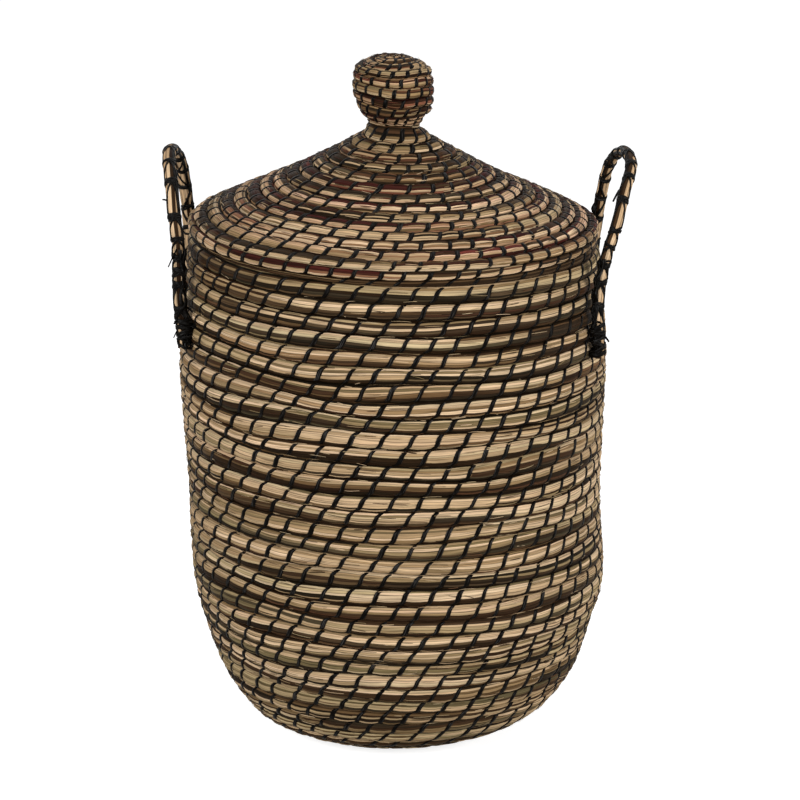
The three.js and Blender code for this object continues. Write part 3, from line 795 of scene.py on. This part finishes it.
def wall_plan(c, turn, length, across, out):
    """Dark below a line across the row that drifts along it and lies higher near the mouth; mixed near the foot and
    on the inside; and darker in the last turn, as painted shade under the lid's edge."""
    height = crest_at(c, turn)[..., 1]
    order = 0.2 + 0.8 * eased(height, *SORTED_FROM)
    border = slow(length, BORDER_WAVES, -0.38) + 0.55 * eased(height, *HIGHER_FROM)
    band = 0.5 + 0.5 * np.sin(length / 610 + 3.3 * across)
    mixed = 0.2 + 0.55 * band**2
    chance = order * (0.05 + 0.93 * below(across, border, BORDER_SHARPNESS)) + (1 - order) * mixed
    # Painted shade under the lid's edge: the last turn of the rim gets more dark blades.
    chance = chance + 0.35 * eased(turn, *(c["turns"] - before for before in RIM_SHADE_TURNS))
    chance = np.where(out > 0, chance, INSIDE_CHANCE)
    return chance, slow(length, HUE_WAVES, 0.42) - 0.12 * (1 - order) + 0 * across


def under_stitch(c, turn):
    """Turn of the stitch nearest a turn, so that a change from one length to the next lies under a strip."""
    return c["stitches"][np.argmin(np.abs(c["stitches"] - turn))]


lengths = ["base_coil", "foot_coil", "lower_wall_coil", "middle_wall_coil", "upper_wall_coil", "rim_coil"]
slots = ["mixed_grass"] * 3 + ["straw_grass"] * 3
splices = [under_stitch(BASKET, turn) for turn in splices]
ends = [whole(BASKET)[0], *splices, whole(BASKET)[1]]
for solid, slot, first, last in zip(lengths, slots, ends[:-1], ends[1:]):
    bundle(solid.replace("coil", "grass"), slot, BASKET, first, last, wall_plan, 20, [solid])

# %% Basket stitches
stitching("lower_stitches", BASKET, END_TURNS, splices[2], 5)
stitching("upper_stitches", BASKET, splices[2], BASKET_TURNS - END_TURNS, 6)

# %% [markdown]
# ## The lid
# The lid is a second coil, wound from the neck of the knob down a flared cone and round a soft edge.
# It turns the other way, seen from its own start, so its rows also fall to the right at the front.

# %% Lid coil
SEAT_GAP = 0.3
LID_REST = MOUTH_HEIGHT + SEAT_GAP
LID_RADIUS = 192
NECK_RADIUS, KNOB_END = 27, 582.4
EDGE_ROUND = 12
EDGE_CENTRE = np.array([LID_RADIUS - EDGE_ROUND, LID_REST + 4])
EDGE_START = math.radians(63)
EDGE_STEPS = 12
EDGE_TURNS = 2.4


def edge_points(angles):
    """Points of the lid's rounded edge: its centre plus EDGE_ROUND times (cosine, sine)."""
    return EDGE_CENTRE + EDGE_ROUND * np.stack([np.cos(angles), np.sin(angles)], axis=-1)


slope_points = [(NECK_RADIUS, 577.4), (32, 572), (42, 565.5), (100, 533), (147, 511.5)]
lid_slope = smooth([*slope_points, *edge_points(np.array([EDGE_START]))])
lid_edge = edge_points(EDGE_START * (1 - np.arange(1, EDGE_STEPS + 1) / EDGE_STEPS))
lid_line = meridian([(NECK_RADIUS, KNOB_END), *lid_slope, *lid_edge, (LID_RADIUS, LID_REST)], -1)
LID = coil("lid", lid_line, start=0, sense=-1, pitch=13.7, thickness=ROW_THICKNESS, groove=4.6, blades=(60, 240),
           dye=0.3)
sew(LID, spacing=23.5, chain=0.57, lean=3.8, seed=9)
LID_TURNS = LID["turns"]
RED_TURN, RED_WIDTH = math.floor(LID_TURNS) - 0.08, 0.065
KNOB_RADII, NECK_RADII, NECK_HUE_RADII, OUTER_RADII = (60, 120), (34, 48), (36, 52), (120, 165)
DARK_ZONE, DARK_ZONE_WIDTH = 85, 22
LID_BORDER_WAVES, LID_BORDER_SHARPNESS = ((0.25, 330, 0.8), (0.2, 121, 0)), 9
LID_HUE_WAVES = ((0.2, 240, 0),)


def lid_plan(c, turn, length, across, out):
    """Dark and purplish blades on the upper side of each row, more of them half way up and near the knob, few round
    its neck and in the outer rows, and one bright red stretch above the outermost row."""
    radius = crest_at(c, turn)[..., 0]
    near_knob = faded(radius, *KNOB_RADII)
    dark_zone = bell(radius - DARK_ZONE, DARK_ZONE_WIDTH)
    outer = eased(radius, *OUTER_RADII)
    border = slow(length, LID_BORDER_WAVES, -0.1) + 0.3 * dark_zone - 0.15 * outer
    upper = below(across, border, LID_BORDER_SHARPNESS)
    chance = 0.1 + 0.8 * (1 - 0.4 * near_knob) * upper + 0.3 * near_knob
    chance = chance - 0.45 * faded(radius, *NECK_RADII)
    chance = np.where(out > 0, chance, INSIDE_CHANCE)
    red = np.exp(-(((turn - RED_TURN) / RED_WIDTH) ** 4)) * (across < 0.1)
    chance = np.maximum(chance, 2 * red)
    hue = 0.62 - 0.12 * near_knob - 0.25 * faded(radius, *NECK_HUE_RADII) + slow(length, LID_HUE_WAVES)
    return chance, hue + 0.15 * dark_zone + 0.8 * red


edge_from = under_stitch(LID, LID_TURNS - EDGE_TURNS)
print("lid turns", round(LID_TURNS, 2), "red stretch at", RED_TURN)
bundle("lid_grass", "mixed_grass", LID, whole(LID)[0], edge_from, lid_plan, 31, ["lid_coil"])
bundle("lid_edge_grass", "straw_grass", LID, edge_from, whole(LID)[1], lid_plan, 31, ["lid_edge_coil"])
stitching("lid_stitches", LID, END_TURNS - 1, LID_TURNS - END_TURNS, 12)

# %% [markdown]
# ## The knob
# The knob is a third, thinner coil over a ball of stuffing. Its rows are short, so the stitches stand close together.

# %% Knob coil
KNOB_HEIGHT = 647
KNOB_DYE = 0.35
ball_points = [(0, KNOB_HEIGHT), (16, 645.6), (32.4, 637), (37.9, 618), (33, 593.5), (NECK_RADIUS, KNOB_END + 5)]
knob_line = meridian([*smooth(ball_points), (NECK_RADIUS, KNOB_END + SEAT_GAP)], -1)
KNOB = coil("lid", knob_line, start=8.5, sense=-1, pitch=10.5, thickness=9, groove=3, blades=(25, 90), dye=KNOB_DYE)
sew(KNOB, spacing=17.5, chain=0.6, lean=2.8, seed=15)
KNOB_TURNS = KNOB["turns"]


KNOB_BORDER_WAVES, KNOB_BORDER_SHARPNESS = ((-0.3, 90, 0),), 6
KNOB_HUE_WAVES = ((0.2, 70, 0),)
KNOB_TOP_TURNS = (0.3, 2.2)


def knob_plan(c, turn, length, across, out):
    """Dark and reddish blades mixed into the straw, most on the upper side of the row and on top of the knob."""
    upper = below(across, slow(length, KNOB_BORDER_WAVES, -0.2), KNOB_BORDER_SHARPNESS)
    top = 1 - eased(turn, *KNOB_TOP_TURNS)
    return 0.32 + 0.34 * upper + 0.25 * top, 0.66 - 0.25 * top + slow(length, KNOB_HUE_WAVES) + 0 * across


bundle("knob_grass", "mixed_grass", KNOB, *whole(KNOB), knob_plan, 44, ["knob_coil"])
stitching("knob_stitches", KNOB, END_TURNS - 1, KNOB_TURNS - 0.25, 16)

# %% [markdown]
# ## Curled starts and stuffing
# The base and the knob start with a curl so tight that its rows are pressed to less than half their width. One lies
# in the middle of the base, the other on top of the knob. The knob is wound over a ball of waste grass.

# %% Curled starts
base_curl_line = meridian([(0, 0), (14.7, 0)], 1)
BASE_CURL = coil("basket", base_curl_line, start=1.2, sense=1, pitch=6.7, thickness=ROW_THICKNESS, groove=3.2,
                 blades=(40, 90))
sew(BASE_CURL, spacing=20, chain=0.3, lean=2, seed=3)
bundle("base_curl", "mixed_grass", BASE_CURL, *whole(BASE_CURL), wall_plan, 21, ["base_centre"])
stitching("base_curl_stitches", BASE_CURL, 0, BASE_CURL["turns"] - END_TURNS, 22)

knob_curl_line = meridian(on_line(knob_line, np.linspace(0, 8.2, 24)), -1)
KNOB_CURL = coil("lid", knob_curl_line, start=0.8, sense=-1, pitch=3.7, thickness=8.6, groove=2, blades=(15, 40),
                 dye=KNOB_DYE)
sew(KNOB_CURL, spacing=10, chain=0.3, lean=1, seed=2)
bundle("knob_curl", "dark_grass", KNOB_CURL, *whole(KNOB_CURL), knob_plan, 45, ["knob_centre"])
stitching("knob_curl_stitches", KNOB_CURL, 0, KNOB_CURL["turns"] - 0.2, 46)

# %% Stuffing
STUFFING_RADIUS = 25.6
STUFFING_CENTRE = KNOB_HEIGHT - KNOB["thickness"] - SEAT_GAP - STUFFING_RADIUS
STUFFING_RINGS, STUFFING_BLADES, BLADE_SIDES = 34, 16, 3
STUFFING_LENGTH = 80
# A sphere whose radius is scaled by two sines of its angles; every third line, between two blades, is lower.
around = STUFFING_BLADES * BLADE_SIDES
latitude = np.radians(np.linspace(-88, 88, STUFFING_RINGS))[:, None]
longitude = (np.arange(around) / around * 2 * np.pi)[None, :]
level = np.cos(latitude)
lumps = 1 + 0.03 * np.sin(5 * longitude + 3 * latitude) * level + 0.02 * np.sin(9 * longitude - 6 * latitude)
lumps = lumps * (1 - 0.05 * level * (np.arange(around) % BLADE_SIDES == 0)[None, :]) - 0.05
sphere = [level * np.cos(longitude), level * np.sin(longitude), np.sin(latitude) + 0 * longitude]
stuffing = STUFFING_RADIUS * lumps[..., None] * np.stack(sphere, -1)
stuffing[..., 2] += STUFFING_CENTRE
own_tones = np.random.default_rng(8).uniform((0.3, 0.4), (0.9, 0.7), (STUFFING_BLADES, 2))
tones = np.tile(own_tones, (STUFFING_RINGS, 1, 1))
tube("knob_stuffing", "lid", GRASS["lid"], by_hand(stuffing, True),
     np.linspace(0, STUFFING_LENGTH, STUFFING_RINGS), np.arange(around) / BLADE_SIDES, tones, ["knob_core"])

# %% [markdown]
# ## The ring under the lid
# Two thin rows sewn under the lid drop just inside the mouth and keep the lid from sliding off.
# They can't be seen in the photograph, so they follow the same make as the rest.

# %% Seat ring
RING_RADIUS, RING_WAIST, RING_SIDE_GAP = 5.5, 3.5, 4
ring_centre = MOUTH_RADIUS - ROW_THICKNESS - RING_SIDE_GAP - RING_RADIUS
ring_depth = LID["thickness"] + SEAT_GAP + RING_RADIUS
ring_under = under_line(lid_line, np.linspace(lid_line["total"] * 0.6, lid_line["total"], 600), ring_depth)
ring_top = ring_under[np.argmax(ring_under[:, 0] > ring_centre), 1]
ring_rise = math.sqrt(RING_RADIUS**2 - RING_WAIST**2)
ring_line = meridian([(ring_centre + RING_RADIUS, ring_top + rise * ring_rise) for rise in (-3, 1)], 1)
RING = coil("lid", ring_line, start=0, sense=-1, pitch=2 * ring_rise, thickness=2 * RING_RADIUS, groove=2,
            blades=WALL_BLADES)
sew(RING, spacing=22, chain=0.4, lean=4, seed=30)
bundle("lid_seat_grass", "straw_grass", RING, *whole(RING), wall_plan, 33, ["lid_seat_coil"])
stitching("lid_seat_stitches", RING, 0.05, RING["turns"] - END_TURNS, 34)

# %% [markdown]
# ## The handles
# Each handle is one bundle bent to an arch and wound crosswise with the black strip. At every tie the strip goes
# round once to three times, and between the ties it runs along both flanks, so that the straw shows in long pointed
# windows. A point of it is found by its length along the arch and its angle round it, so winding is a path in those
# two.

# %% Handle lines
HANDLE_SEAT = 7.3
FOOT_HEIGHT, FOOT_TAIL, LEG_HEIGHT = MOUTH_HEIGHT - 83, 9, MOUTH_HEIGHT - 48
HANDLE_BLADES = 8
TIES = 19
TIE_SHIFTS = {"left": (0, 4, 7, -4, -12, -19, -21, -10, -8), "right": (10, 15, 14, 8, 3, -5, 1, 4, 0)}
DARK_BLADES = {"left": (2, 6), "right": (2, 3, 5)}
HANDLE_STEPS = 260
FLATTENING = 0.06
STRIP_SQUEEZE = 0.75
HANDLES = {
    "left": {"azimuth": -90.7, "half_width": 72, "spring": 4, "legs": (5.3, 4),
             "arch": (6, 9.5, 12.5, 16, 17.5, 15.5, 11.5, 9, 6.5), "radius": 5.6},
    "right": {"azimuth": 89.4, "half_width": 82, "spring": -6.5, "legs": (-3.5, -2.5),
              "arch": (2.5, 12.5, 20, 27, 24.5, 18.5, 11, 6, 1.5), "radius": 4.9},
}


def heading(azimuth):
    """Unit vector of an azimuth in degrees, from the front towards the right."""
    return np.array([math.sin(math.radians(azimuth)), -math.cos(math.radians(azimuth)), 0])


def handle_line(azimuth, half_width, spring, legs, arch, radius):
    """Centreline from the front foot over the arch to the back foot, at even lengths, with its two cross directions:
    away from the basket, and away from the hand hole; and the radius of its bundle. legs and arch say how far outside
    the mouth's radius it runs, and spring how far above the mouth its arch starts."""
    sign = math.copysign(1, azimuth)
    out, along = heading(azimuth), heading(azimuth + 90 * sign)

    def place(distance, sideways, height):
        """Point at a distance out and sideways from the axis."""
        return out * distance + along * sideways + np.array([0, 0, height])

    def leg(side, outward):
        """Foot on the crest of the row nearest its height, then the leg."""
        spread = math.degrees(math.asin(half_width / (BELLY_RADIUS + HANDLE_SEAT)))
        share = -(azimuth + side * sign * spread) / 360
        turn = round(turn_at_height(BASKET, FOOT_HEIGHT) - share - 0.5) + share
        crest = crest_at(BASKET, turn)
        foot = math.sqrt((crest[0] + HANDLE_SEAT) ** 2 - half_width**2)
        return [place(foot, side * half_width, crest[1] - FOOT_TAIL), place(foot, side * half_width, crest[1]),
                place(MOUTH_RADIUS + outward, side * half_width, LEG_HEIGHT)]

    over = []
    for i, outward in enumerate(arch):
        angle = math.pi * i / (len(arch) - 1)
        height = MOUTH_HEIGHT + spring + half_width * math.sin(angle)
        over.append(place(MOUTH_RADIUS + outward, -half_width * math.cos(angle), height))
    line = smooth([*leg(-1, legs[0]), *over, *leg(1, legs[1])[::-1]])
    lengths = by_length(line)
    s = np.linspace(0, lengths[-1], HANDLE_STEPS)
    centre = read_at(s, lengths, line)
    tangent = unit(np.gradient(centre, axis=0))
    outward = unit(out - (tangent @ out)[:, None] * tangent)
    away = np.cross(tangent, outward) * -sign
    return {"s": s, "centre": centre, "outward": outward, "away": away, "length": lengths[-1], "radius": radius}


def on_handle(line, s, angle, lift):
    """Centre plus (radius + lift) times (cosine of the angle away from the basket, sine away from the hand hole);
    the section is a little flattened."""
    centre, outward, away = (read_at(s, line["s"], line[key]) for key in ("centre", "outward", "away"))
    radius = line["radius"] * (1 + FLATTENING * np.cos(2 * angle)) + lift
    return centre + (radius * np.cos(angle))[..., None] * outward + (radius * np.sin(angle))[..., None] * away


def tie_lengths(side, line):
    """Lengths along the arch where the ties sit: even steps, shifted on the near leg by a table."""
    shifts = np.append(TIE_SHIFTS[side], np.zeros(TIES - len(TIE_SHIFTS[side])))
    return line["length"] * (0.5 + np.arange(TIES)) / TIES + shifts


def wound(line, s, angle, lift, width):
    """Strip along a path of length and angle: the section's width is laid at right angles to the path on the
    unrolled surface, and its thickness is STRIP_SQUEEZE of a stitch's."""
    ds, dw = np.gradient(s, axis=-1), np.gradient(angle, axis=-1) * line["radius"]
    size = np.maximum(np.hypot(ds, dw), 1e-6)
    w = np.asarray(width)[..., None] * STRIP_SECTION[:, 0]
    s_all = s[..., None] - w * (dw / size)[..., None]
    angle_all = angle[..., None] + w * (ds / size)[..., None] / line["radius"]
    lift_all = lift[..., None] + STRIP_SQUEEZE * (STRIP_SECTION[:, 1] + 0.5)
    return on_handle(line, s_all, angle_all, lift_all)


def handle_strips(side, part, points, seed, replaces=()):
    """All strips of one kind on a handle, as one piece."""
    strips(f"handle_{side}_{part}", "basket", STRIP, points, seed, replaces)


# %% Handle grass
HANDLE_RINGS = 200
HANDLE_VALLEY, HANDLE_RIDGE, HANDLE_CINCH, HANDLE_CINCH_WIDTH = 0.55, 0.25, 0.5, 4.4
HANDLE_TWIST, HANDLE_TWIST_WAVE, HANDLE_DRIFT, HANDLE_DRIFT_WAVE, HANDLE_RIDGE_WAVE = 0.5, 60, 0.12, 33, 23
HANDLE_BLADE_LENGTH = 90
ODD_BLADES = 0.12
DARK_FROM, DARK_SPREAD, STRAW_FROM, STRAW_SPREAD = 0.68, 0.3, 0.02, 0.26


def handle_grass(side, line, seed):
    """Bundle of the handle: rings of blades with ridges and valleys, drawn in at every tie by a bell curve, and
    twisted to and fro by two slow sines. A blade keeps its kind but for a few of its lengths, the odd ones."""
    rng = np.random.default_rng(seed)
    s = np.linspace(0, line["length"], HANDLE_RINGS)
    spot = blade_spots(HANDLE_BLADES)
    blade = np.floor(spot)
    waves = [(HANDLE_TWIST, HANDLE_TWIST_WAVE, seed), (HANDLE_DRIFT, HANDLE_DRIFT_WAVE, 2.2 * blade)]
    turn = slow(s[:, None], waves)
    angle = 2 * np.pi * (spot[None, :] + turn) / HANDLE_BLADES
    near = np.abs(s[:, None] - tie_lengths(side, line)[None, :]).min(axis=1)
    valley = (spot % 1 == 0)[None, :]
    ridge = slow(s[:, None], [(HANDLE_RIDGE, HANDLE_RIDGE_WAVE, 1.7 * blade)]) * ~valley
    lift = -HANDLE_VALLEY * valley + ridge - HANDLE_CINCH * bell(near, HANDLE_CINCH_WIDTH)[:, None]
    points = on_handle(line, s[:, None] + 0 * angle, angle, lift)
    dark = np.isin(np.arange(HANDLE_BLADES), DARK_BLADES[side])
    piece = np.floor(s[:, None] / HANDLE_BLADE_LENGTH + rng.uniform(0, 1, HANDLE_BLADES)).astype(int)
    shade, flip = rng.uniform(0, 1, (2, piece.max() + 1, HANDLE_BLADES))
    shade, flip = (table[piece, np.arange(HANDLE_BLADES)] for table in (shade, flip))
    dark = np.where(flip < ODD_BLADES, ~dark[None, :], dark[None, :])
    tone = np.where(dark, DARK_FROM + DARK_SPREAD * shade, STRAW_FROM + STRAW_SPREAD * shade)
    tones = np.stack([tone, 0.5 + 0.35 * shade], axis=-1)
    tube(f"handle_{side}_grass", "basket", HANDLE_GRASS, points, s, spot, tones, [f"handle_{side}"])


# %% Handle winding
LOWER_LEG = 92
TIE_WIDTH, TIE_STEP, TIE_STEPS, TIE_SWAY = 2.4, 2.1, 44, 1.8
ARCH_TURNS, LEG_TURNS = (1.15, 1.3, 2.2), (2, 3)
CROSSING_WIDTH, CROSSING_TURNS, CROSSING_SWAY, LEG_SWING, ARCH_SWING = 2.0, 1.3, 1, 4.2, 2.4
# Each strip of the net: its lift and its width. The last three have the places and waves of CARRIED.
NET = np.array([(0, 2.0), (0, 2.0), (0, 2.2), (-0.3, 3.0), (-0.3, 2.6), (-0.3, 3.0)])
CARRIED = np.array([(-0.55, 31), (0.05, 23), (0.6, 19)])
NET_END, NET_STEPS = 4, 640
FLANK = math.pi / 2
NET_SWING, ZIGZAG_SWING, CARRIED_SWING = 1.3, 1.15, 0.22
OPEN_AT, CLOSING_FROM, CLOSING_POWER = 0.14, 0.25, 1.8
NEAR_FEET, NEAR_FEET_WIDER = (60, 110), 0.7
FOOT_LOOPS, FOOT_FROM, FOOT_STEP, FOOT_RISE, FOOT_WIDTH, FOOT_STEPS = 6, 3, 4.8, 2.4, 2.8, 40
# Each strip that binds a leg to the wall and darkens the gap there as painted shade: where it starts and at what
# angle.
BINDINGS_AND_SHADE = np.array([(2.0, -1.0), (3.0, -0.55), (4.0, 0.5)])
BINDING_WIDTH, BINDING_STEPS = 3.0, 120


def handle_ties(side, line, seed):
    """Ties: at each, one strip winds round and another crosses it. Those of the lower legs are wound two to three
    times, those of the arch once or twice."""
    rng = np.random.default_rng(seed)
    length = line["length"]
    spots = tie_lengths(side, line)[:, None]
    low = np.minimum(spots, length - spots) < LOWER_LEG
    t = np.linspace(0, 1, TIE_STEPS)[None, :]
    start = rng.uniform(0, 2 * np.pi, (TIES, 1))
    turns = np.where(low, rng.uniform(*LEG_TURNS, (TIES, 1)), rng.choice(ARCH_TURNS, (TIES, 1)))
    angle = start + 2 * np.pi * turns * t
    s = spots + (t - 0.5) * TIE_STEP * turns + rng.uniform(-TIE_SWAY, TIE_SWAY, (TIES, 1)) * np.sin(angle)
    ties = [wound(line, s, angle, -0.5 + 0.4 * t, TIE_WIDTH)]
    angle = start + 1 - 2 * np.pi * CROSSING_TURNS * t
    s = spots + rng.uniform(-CROSSING_SWAY, CROSSING_SWAY, (TIES, 1))
    s = s + np.where(low, LEG_SWING, ARCH_SWING) * np.sin(angle + start)
    ties.append(wound(line, s, angle, 0 * s, CROSSING_WIDTH))
    names = [f"handle_{side}_lashing_{n:02d}" for n in range(1, TIES + 1)]
    handle_strips(side, "ties", np.concatenate(ties), seed, names)


def handle_net(side, line, seed):
    """Two strips along the side away from the hand hole, which run along the flanks, close in to a point before the
    next tie and cross under it, by 1 less a power of the share; a zigzag over the side of the hand hole; and three
    strips carried along the side of the basket on slow sines. Near the feet all are wider."""
    s = np.linspace(NET_END, line["length"] - NET_END, NET_STEPS)[None, :]
    tie_phase = np.interp(s, tie_lengths(side, line), np.arange(TIES))
    share = tie_phase % 1
    closing = 1 - np.clip((share - CLOSING_FROM) / (1 - CLOSING_FROM), 0, 1) ** CLOSING_POWER
    wave = NET_SWING * (np.minimum(share / OPEN_AT, 1) * closing * (-1) ** np.floor(tie_phase))
    zigzag = np.arcsin(np.clip(0.97 * np.sin(np.pi * (tie_phase + 0.3)), -1, 1)) / (np.pi / 2)
    carried = math.pi + CARRIED[:, :1] + CARRIED_SWING * np.sin(s / CARRIED[:, 1:] + seed)
    angles = np.concatenate([FLANK + wave, FLANK - wave, -FLANK + ZIGZAG_SWING * zigzag, carried])
    lift = NET[:, :1] - 0.3 + 0.25 * np.cos(np.pi * tie_phase) ** 8
    near = faded(np.minimum(s, line["length"] - s), *NEAR_FEET)
    width = NET[:, 1:] * (1 + NEAR_FEET_WIDER * near)
    handle_strips(side, "net", wound(line, np.repeat(s, len(NET), axis=0), angles, lift, width), seed)


def handle_feet(side, line, seed):
    """Sewing of the two feet: short windings of the leg, each tilted its own way by a sine, whose lift grows towards
    the basket by a cosine, so that they dip into the grooves of the wall and leave straw to be seen outside."""
    rng = np.random.default_rng(seed)
    loops = FOOT_STEP * np.arange(FOOT_LOOPS)
    spots = np.concatenate([FOOT_FROM + loops, line["length"] - FOOT_FROM - loops])
    count = len(spots)
    t = np.linspace(0, 1, FOOT_STEPS)[None, :]
    begin, turns = rng.uniform(0, 6, (count, 1)), rng.uniform(1.2, 2.2, (count, 1))
    angle = begin + 2 * np.pi * turns * t * rng.choice([-1, 1], (count, 1))
    tilt = rng.uniform(1, 4, (count, 1)) * np.sin(angle + rng.uniform(0, 6, (count, 1)))
    s = spots[:, None] + tilt + FOOT_RISE * t
    lift = 0.1 + rng.uniform(0.7, 1.5, (count, 1)) * (1 - np.cos(angle)) + rng.uniform(0, 0.6, (count, 1))
    handle_strips(side, "feet", wound(line, s, angle, lift, FOOT_WIDTH), seed)


def handle_bindings_and_shade(side, line, seed):
    """Strips that bind the lower legs to the wall: they run up each leg on the side of the basket with a slow wave,
    and swing towards the wall and back by a sine with the period of the rows. Running the whole lower leg, they are
    partly real sewing and partly painted shade of the gap between leg and wall."""
    t = np.linspace(0, 1, BINDING_STEPS)[None, :]
    near = BINDINGS_AND_SHADE[:, :1]
    angle = math.pi + BINDINGS_AND_SHADE[:, 1:] + 0.3 * np.sin(14 * t + near * 2)
    lift = 0.5 + 1.1 * np.sin(LOWER_LEG * t * 2 * np.pi / BASKET["pitch"] + near)
    s = near + LOWER_LEG * t
    s = np.concatenate([s, line["length"] - s])
    both = wound(line, s, np.tile(angle, (2, 1)), np.tile(lift, (2, 1)), BINDING_WIDTH)
    handle_strips(side, "bindings_and_shade", both, seed)


handle_lines = {side: handle_line(**facts) for side, facts in HANDLES.items()}
for number, (side, line) in enumerate(handle_lines.items()):
    handle_grass(side, line, 60 + 10 * number)
    handle_ties(side, line, 61 + 11 * number)
    handle_net(side, line, 62 + 11 * number)
    handle_feet(side, line, 63 + 11 * number)
    handle_bindings_and_shade(side, line, 64 + 11 * number)
    print("handle", side, "length", round(line["length"]), "mm")

# %% [markdown]
# ## Loose ends
# A hand-made basket has ends that stick out: the strip's tails beside the ties, and slivers of grass that have come
# loose from the rows. Each is a short flat blade along a bent path, so one function makes all of them.

# %% Tails of the strip
TAIL_WIDTH, TAIL_THICKNESS, TAIL_DROOP, TAIL_STEPS = 2.6, 0.8, np.array([0, 0, -1.6]), 9


def blades_along(centre, side, width, thickness):
    """Flat section carried along paths: the centre plus the section's width along side and its thickness along the
    cross product of side and the path's direction."""
    up = unit(np.cross(side, np.gradient(centre, axis=1)))
    w, h = STRIP_SECTION[:, 0, None], STRIP_SECTION[:, 1, None]
    return centre[:, :, None] + width[..., None, None] * w * side[:, :, None] + thickness * h * up[:, :, None]


def tails(side, ends, seed):
    """Loose ends of strip: from a point of the handle at (length share, angle) out by (distance, sideways, up),
    along t and drooping with t squared."""
    rng = np.random.default_rng(seed)
    line = handle_lines[side]
    data = np.array(ends)
    s, angle = data[:, :1] * line["length"], np.radians(data[:, 1:2])
    start = on_handle(line, s, angle, -0.2 + 0 * s)[:, 0]
    t = np.linspace(0, 1, TAIL_STEPS)[None, :, None]
    centre = start[:, None] + data[:, None, 2:5] * t + TAIL_DROOP * t**2
    across = unit(np.cross(data[:, 2:5], rng.normal(0, 1, (len(data), 3))))
    width = TAIL_WIDTH * (1 - 0.35 * t[..., 0])
    points = blades_along(centre, across[:, None] + 0 * centre, width + 0 * centre[..., 0], TAIL_THICKNESS)
    handle_strips(side, "tails", points, seed)


tails("left", [(0.225, 80, -8, -2, -15), (0.33, 20, -4, -2, 3), (0.07, 60, -4, -3, -3), (0.04, 10, -3, -4, -4),
               (0.05, 160, 5, -4, 1), (0.09, 200, 6, -5, -2), (0.62, 30, -5, 2, 2)], 80)
tails("right", [(0.37, 185, -6, -2, -9), (0.05, 30, 5, -3, -4), (0.08, 100, 3, -5, 2), (0.04, 330, -5, -4, -2),
                (0.66, 40, 4, 2, 4)], 81)


# %% Slivers of grass
SLIVER_THICKNESS, SLIVER_STEPS = 0.3, 6
SLIVER_REACH, SLIVER_ANGLE = (8, 22), 1.2
PALE_SLIVERS, PALE_STRAYS = 0.75, 0.4
STRAY_BED = 0.3
ASIDE = 0.05


def lay(name, c, turn, angle, lift, width, tones, seed):
    """Narrow blades laid along a coil on paths of turn, angle and lift, as one piece."""
    centre = row_points(c, turn, angle, lift)
    side = unit(row_points(c, turn, angle + ASIDE, lift) - centre)
    points = by_hand(blades_along(centre, side, width, SLIVER_THICKNESS), c["body"] == "lid")
    strips(name, c["body"], GRASS[c["body"]], points, seed, tones=tones)


def slivers(name, c, low, high, count, seed):
    """Loose slivers: each starts in the skin at a random turn and angle, runs SLIVER_REACH millimetres along the row
    and lifts with the square of its length."""
    rng = np.random.default_rng(seed)
    turn = rng.uniform(low, high, (count, 1))
    t = np.linspace(0, 1, SLIVER_STEPS)[None, :]
    reach = rng.uniform(*SLIVER_REACH, (count, 1)) * rng.choice([-1, 1], (count, 1))
    angle = rng.uniform(-SLIVER_ANGLE, SLIVER_ANGLE, (count, 1)) + rng.uniform(-0.14, 0.14, (count, 1)) * t
    lift = -0.4 + rng.uniform(0.7, 2.3, (count, 1)) * t**2
    u = turn + reach * t / (2 * np.pi * crest_at(c, turn)[..., 0])
    width = rng.uniform(0.4, 0.9, (count, 1)) * (1 - 0.75 * t)
    kind, shade = rng.uniform(0, 1, (count, 2)).T
    tones = np.stack([np.where(kind < PALE_SLIVERS, 0.25 * shade, 0.6 + 0.3 * shade), 0.5 * kind], axis=-1)
    lay(name, c, u, angle, lift, width, tones, seed)


def stray_blades(name, c, low, high, count, seed):
    """Thin blades and dark fibres that lie on the row between two stitches, as the skin does there: up by a half sine
    and down by a bell curve at each stitch. Each has its own share of the gap and drifts a little across the row.
    The pale ones lie on the half where the straw is."""
    rng = np.random.default_rng(seed)
    stitches, scale = c["stitches"], c["thickness"] / ROW_THICKNESS
    inside = np.flatnonzero((stitches > low) & (stitches < high))
    k = rng.choice(inside, (count, 1))
    t = np.linspace(0, 1, SLIVER_STEPS)[None, :]
    begin = rng.uniform(0.02, 0.5, (count, 1))
    phase = begin + (np.minimum(begin + rng.uniform(0.3, 0.9, (count, 1)), 0.98) - begin) * t
    turn = stitches[k] + phase * (stitches[k + 1] - stitches[k])
    cinch = bell(np.minimum(phase, 1 - phase), CINCH_WIDTH)
    shade = rng.uniform(0, 1, (count, 2))
    is_pale = shade[:, :1] < PALE_STRAYS
    angle = rng.uniform(np.where(is_pale, -0.2, -1.35), 1.35) + rng.normal(0, 0.1, (count, 1)) * t
    lift = scale * (STRAY_BED + PILLOW * np.sin(np.pi * phase) - CINCH * cinch)
    width = scale * rng.uniform(0.3, 0.75, (count, 1)) * (0.4 + 0.6 * np.sin(np.pi * (0.15 + 0.8 * t)))
    tone = np.where(is_pale, 0.35 * shade[:, 1:], 0.5 + 0.45 * shade[:, 1:])
    lay(name, c, turn, angle, lift, width, np.concatenate([tone, shade[:, :1]], axis=1), seed)


stray_blades("wall_strays", BASKET, 5, BASKET_TURNS - 1, 2400, 95)
stray_blades("lid_strays", LID, 0.3, LID_TURNS - 1, 1000, 96)
stray_blades("knob_strays", KNOB, 0.3, KNOB_TURNS - 1, 160, 97)
slivers("wall_slivers", BASKET, 7, BASKET_TURNS - 1, 220, 90)
slivers("lid_slivers", LID, 0.5, LID_TURNS - 1, 110, 91)
slivers("knob_slivers", KNOB, 0.5, KNOB_TURNS - 1, 36, 92)
